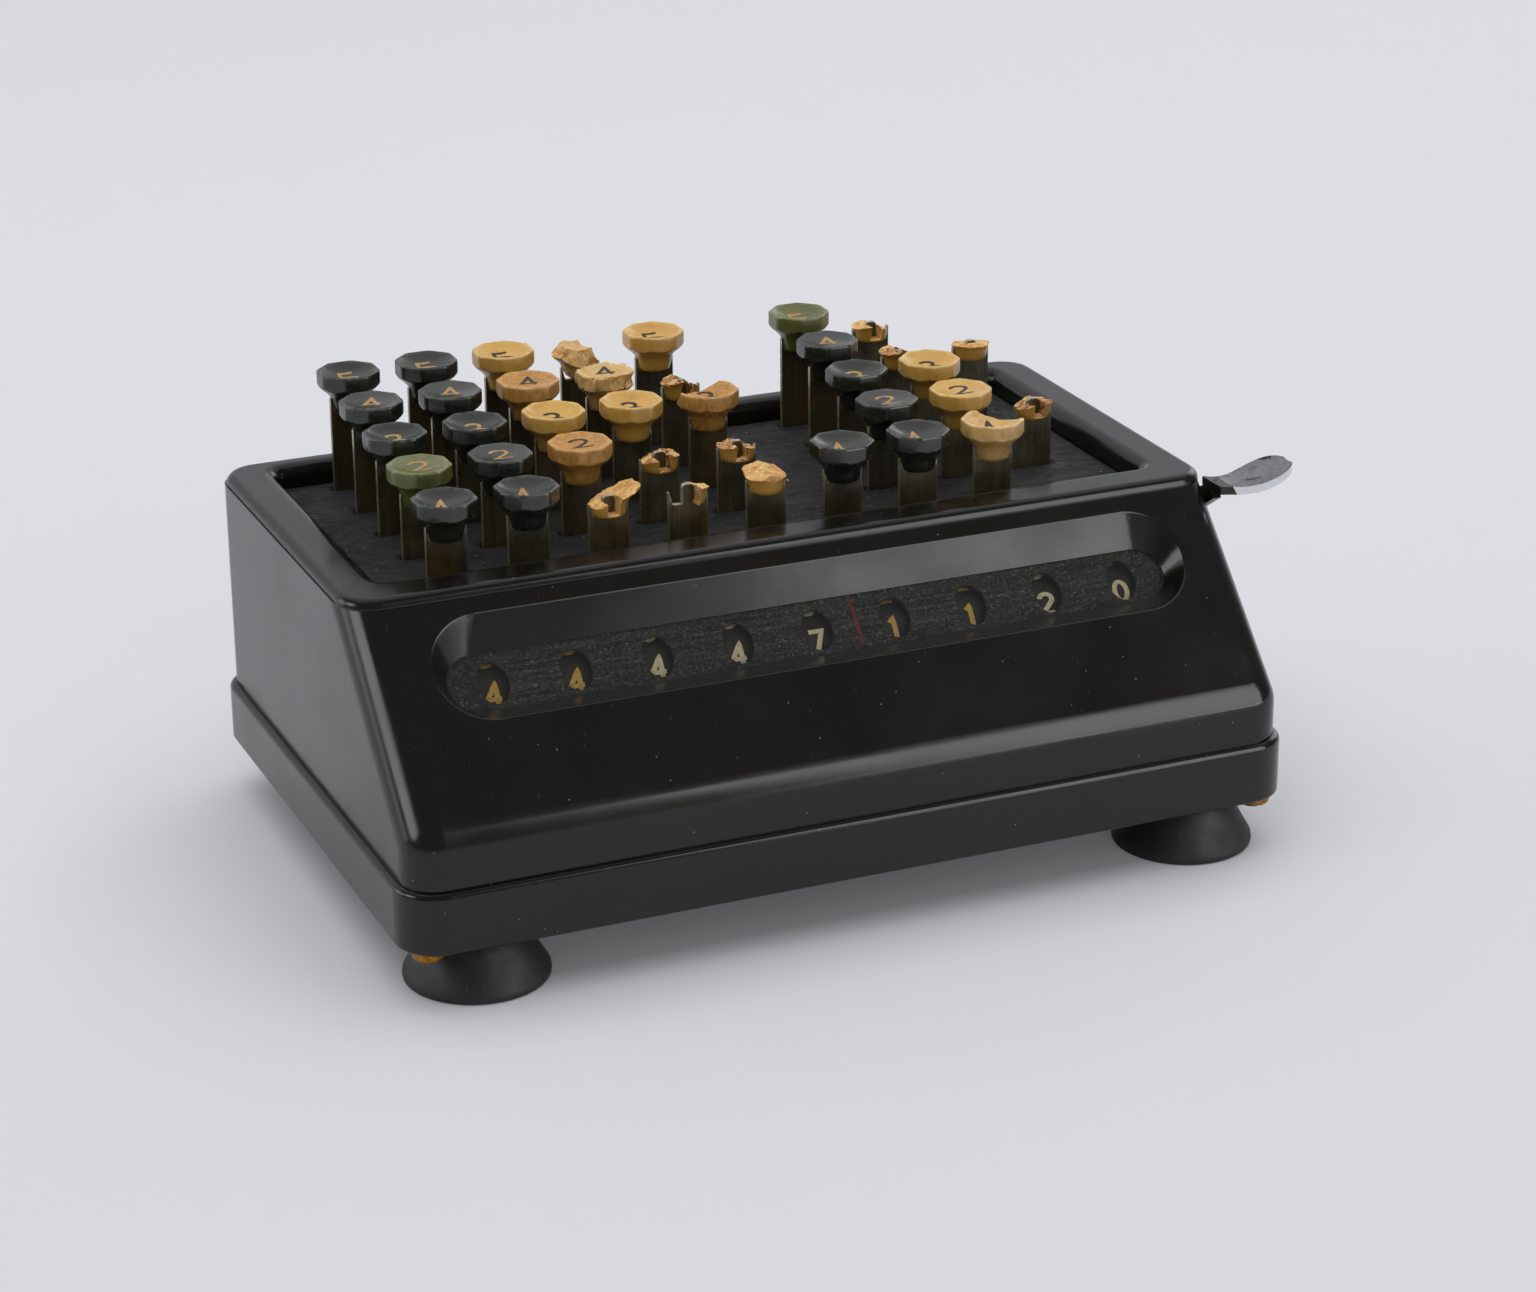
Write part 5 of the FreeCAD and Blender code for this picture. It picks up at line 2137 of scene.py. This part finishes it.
@dataclass
class LooseChips:
    """Crumbs of broken caps that lie on the felt: X, Y and largest reach of each."""

    spots: tuple[Triple, ...] = (
        (-20.0, 47.0, 1.9),
        (-15.5, 44.5, 1.2),
        (3.0, 27.0, 1.3),
        (5.5, 22.5, 0.9),
        (-19.0, 12.0, 0.8),
        (21.0, 14.0, 0.7),
        (-44.0, 9.0, 0.9),
        (-21.5, 49.5, 1.0),
        (9.0, 18.0, 0.6),
        (-6.0, 24.0, 0.6),
    )
    sink: float = 0.35
    first_seed: int = 40
    points_round: int = 14
    rings: int = 9
    pole: float = 0.08
    planes: int = 9
    nearest_plane: float = 0.4
    farthest_plane: float = 0.75
    squash: Triple = (1.0, 0.8, 0.55)
    crease: float = 25.0

    def chip(self, x: float, y: float, z: float, size: float, seed: int) -> Surface:
        """One crumb: a ball cut by random planes, then squashed.

        The radius in a direction is a plane's distance over the cosine of the angle between
        the direction and the plane's normal: the least of them, and the ball's at most.

        Args:
            x: Its place.
            y: Its place.
            z: Height of what it lies on.
            size: Its largest reach.
            seed: Number of its shape.

        Returns:
            The closed surface.
        """
        across = np.linspace(0, 2 * math.pi, self.points_round, endpoint=False)
        down = np.linspace(self.pole, math.pi - self.pole, self.rings)[:, None]
        x_part, y_part = np.sin(down) * np.cos(across), np.sin(down) * np.sin(across)
        facing = np.stack([x_part, y_part, np.cos(down) + 0 * across], axis=-1)
        chance = np.random.default_rng(seed)
        normals = unit(chance.normal(size=(self.planes, 3)))
        distance = chance.uniform(self.nearest_plane, self.farthest_plane, self.planes)
        towards = np.maximum(facing @ normals.T, 1e-3)
        radius = np.minimum((distance / towards).min(axis=-1), 1.0) * size
        rings = facing * radius[..., None] * self.squash
        lift = z - rings[..., 2].min()
        return loft(rings + (x, y, lift))

    def build(self, floor: float) -> None:
        """Lays the crumbs on the felt, sunk a little into its nap.

        Args:
            floor: Highest that the felt's nap reaches.
        """
        chips = []
        for seed, (x, y, size) in enumerate(self.spots, start=self.first_seed):
            chips.append(self.chip(x, y, floor - self.sink, size, seed))
        resin = BROKEN_RESIN.build()
        add_piece("loose_chips", joined(chips), [resin], "chassis", self.crease)


@dataclass
class Mechanism:
    """Inner pieces of the frame, in their steels."""

    steel_nodes: tuple[str, ...] = (
        "side_frames",
        "key_guides",
        "wheel_axle",
        "drive_slides",
        "slide_combs",
    )
    plated_length: float = 16.4
    top_facing: float = 0.6

    def plate_lever(self) -> None:
        """Dresses the lever: its arm in dark steel, its thumb piece plated and worn dull on top.

        A face is plated by its middle's X, and worn where its normal points up.
        """
        dress("clearing_lever", LEVER_STEEL.build())
        mesh = FRAME["nodes"]["clearing_lever"].data
        mesh.materials.append(CHROME_PLATE.build())
        mesh.materials.append(WORN_PLATE.build())
        plated_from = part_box("clearing_lever")[1][0] - self.plated_length * MM
        middles = np.empty(len(mesh.polygons) * 3)
        normals = np.empty(len(mesh.polygons) * 3)
        mesh.polygons.foreach_get("center", middles)
        mesh.polygons.foreach_get("normal", normals)
        plated = middles[::3] > plated_from
        on_top = normals[2::3] > self.top_facing
        finish = np.where(plated, len(mesh.materials) - 2 + on_top, 0)
        mesh.polygons.foreach_set("material_index", finish.astype(np.int32))

    def build(self) -> None:
        """Dresses the steel pieces and the clearing lever."""
        steel = SHEET_STEEL.build()
        for node in self.steel_nodes:
            dress(node, steel)
        self.plate_lever()


@dataclass(frozen=True)
class Lamp:
    """Soft rectangular lamp that faces a point; its power is in watts."""

    name: str
    place: Triple
    aim: Triple
    size: tuple[float, float]
    power: float
    mirrored: bool = True
    spreads: bool = True

    def build(self) -> None:
        """Adds the lamp, seen in glossy surfaces or not, and lighting matt ones or not."""
        data = bpy.data.lights.new(self.name, "AREA")
        data.shape = "RECTANGLE"
        data.size, data.size_y = self.size[0] * MM, self.size[1] * MM
        data.energy = self.power
        lamp = add_object(self.name, data)
        lamp.location = Vector(self.place) * MM
        away = Vector(self.place) - Vector(self.aim)
        lamp.rotation_euler = away.to_track_quat("Z", "Y").to_euler()
        lamp.visible_glossy = self.mirrored
        lamp.visible_diffuse = self.spreads
        lamp.visible_transmission = False


@dataclass
class Studio:
    """Pale floor that sweeps up behind, soft lamps, and the camera at the photograph's angle."""

    focal: float = 90.17
    azimuth: float = -23.16
    elevation: float = 21.65
    roll: float = -0.38
    distance: float = 898.57
    target: Triple = (-3.71, 0.85, 40.67)
    floor_colour: str = "d7d8dc"
    floor_lift: float = 0.1
    room_colour: str = "e8eaee"
    room_light: float = 0.19
    room_seen: float = 0.8
    floor_half: float = 4000.0
    sweep_start: float = 900.0
    sweep_radius: float = 500.0
    sweep_rings: int = 25
    wall_height: float = 1600.0
    lamps: tuple[Lamp, ...] = (
        Lamp("overhead", (0, -100, 1700), (0, -100, 0), (2600, 2200), 26.4, mirrored=False),
        Lamp("front_fill", (-300, -1500, 900), (0, 0, 0), (1800, 1000), 4.2, mirrored=False),
        Lamp("ceiling_card", (300, 650, 1300), (300, 650, 0), (2000, 1600), 5.5),
        Lamp("back_left", (-1500, 900, 500), (0, 0, 50), (900, 900), 5.0),
        Lamp("back_right", (1500, 1000, 700), (0, 0, 50), (900, 900), 4.0),
        Lamp("front_right", (570, -760, 430), (60, 0, 60), (580, 720), 4.6, spreads=False),
        Lamp("low_card", (575, -790, 34), (85, -45, 58), (560, 66), 0.6, spreads=False),
        Lamp("left_card", (-1150, 0, 620), (-100, -50, 60), (500, 500), 3.1, spreads=False),
    )

    def camera(self) -> None:
        """Adds the camera: it looks back along azimuth and elevation, rolled about its own axis."""
        az, el, roll = (math.radians(a) for a in (self.azimuth, self.elevation, self.roll))
        back = np.array([math.sin(az) * math.cos(el), -math.cos(az) * math.cos(el), math.sin(el)])
        right = np.array([math.cos(az), math.sin(az), 0.0])
        up = np.cross(back, right)
        across = math.cos(roll) * right + math.sin(roll) * up
        upward = -math.sin(roll) * right + math.cos(roll) * up
        place = (np.array(self.target) + back * self.distance) * MM
        matrix = np.eye(4)
        matrix[:3] = np.stack([across, upward, back, place], axis=1)
        data = bpy.data.cameras.new("camera")
        data.lens = self.focal
        camera = add_object("camera", data)
        camera.matrix_world = Matrix(matrix.tolist())
        bpy.context.scene.camera = camera

    def paper(self) -> bpy.types.Material:
        """Matt pale paper, its colour lifted by a share of even light where the camera sees it.

        The share holds for the camera, for mirror images and for what shows through the window.

        Returns:
            The material.
        """
        finish = Finish("matt_paper_backdrop", self.floor_colour, roughness=(0.9, 0.9))
        material = finish.build()
        tree = material.node_tree
        output = next(node for node in tree.nodes if node.type == "OUTPUT_MATERIAL")
        lit = output.inputs["Surface"].links[0].from_socket
        even = add_node(tree, "Emission", {"Color": linear(self.floor_colour), "Strength": 1.0})
        ray = add_node(tree, "LightPath").outputs
        seen = ray["Is Camera Ray"]
        for other in (ray["Is Glossy Ray"], ray["Is Transmission Ray"]):
            seen = add_node(tree, "Math", {0: seen, 1: other}, operation="MAXIMUM").outputs[0]
        lift = {0: seen, 1: self.floor_lift}
        share = add_node(tree, "Math", lift, operation="MULTIPLY").outputs[0]
        mix = add_node(tree, "MixShader", {0: share, 1: lit, 2: even.outputs[0]})
        tree.links.new(mix.outputs[0], output.inputs["Surface"])
        return material

    def floor(self) -> None:
        """Adds the floor: flat, then a quarter circle, then upright."""
        bend = np.radians(np.linspace(0, 90, self.sweep_rings))
        swept = self.sweep_start + self.sweep_radius * np.sin(bend)
        y = np.concatenate([[-self.floor_half], swept])
        z = np.concatenate([[0.0], self.sweep_radius * (1 - np.cos(bend))])
        y, z = np.append(y, y[-1]), np.append(z, self.wall_height)
        left = np.stack([0 * y - self.floor_half, y, z], axis=-1)
        right = left * (-1, 1, 1)
        rows = np.stack([left, right], axis=1)
        surface = Surface(rows.reshape(-1, 3), [grid_quads(len(y), 2, False, False)])
        mesh = to_mesh("studio_floor", surface)
        mesh.shade_smooth()
        mesh.materials[0] = self.paper()
        add_object("studio_floor", mesh)

    def room(self) -> None:
        """Adds the room round the studio: pale to the camera, dim as a light."""
        world = bpy.data.worlds.new("studio")
        world.use_nodes = True
        tree = world.node_tree
        ray = add_node(tree, "LightPath").outputs
        span = {"Value": ray["Is Camera Ray"], "To Min": self.room_light, "To Max": self.room_seen}
        level = add_node(tree, "MapRange", span).outputs["Result"]
        background = tree.nodes["Background"]
        background.inputs["Color"].default_value = linear(self.room_colour)
        tree.links.new(level, background.inputs["Strength"])
        bpy.context.scene.world = world

    def build(self) -> None:
        """Adds the camera, the floor, the room and the lamps."""
        bpy.context.scene.view_settings.view_transform = "Standard"
        self.camera()
        self.floor()
        self.room()
        for lamp in self.lamps:
            lamp.build()


def main() -> None:
    """Loads the frame and builds the machine and its studio, piece by piece."""
    logging.basicConfig(level=logging.INFO, format="%(message)s")
    FRAME.update(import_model())
    Studio().build()
    Case().build()
    Mechanism().build()
    DialPanel().build()
    keyboard = Keyboard()
    places = [keyboard.place(column, row) for column, row in keyboard.keys()]
    FeltMat(keyboard.stem_width, keyboard.stem_thickness).build(places)
    LooseChips().build(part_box("keyboard_felt")[1][2] / MM)
    keyboard.build()


if __name__ == "__main__":
    main()
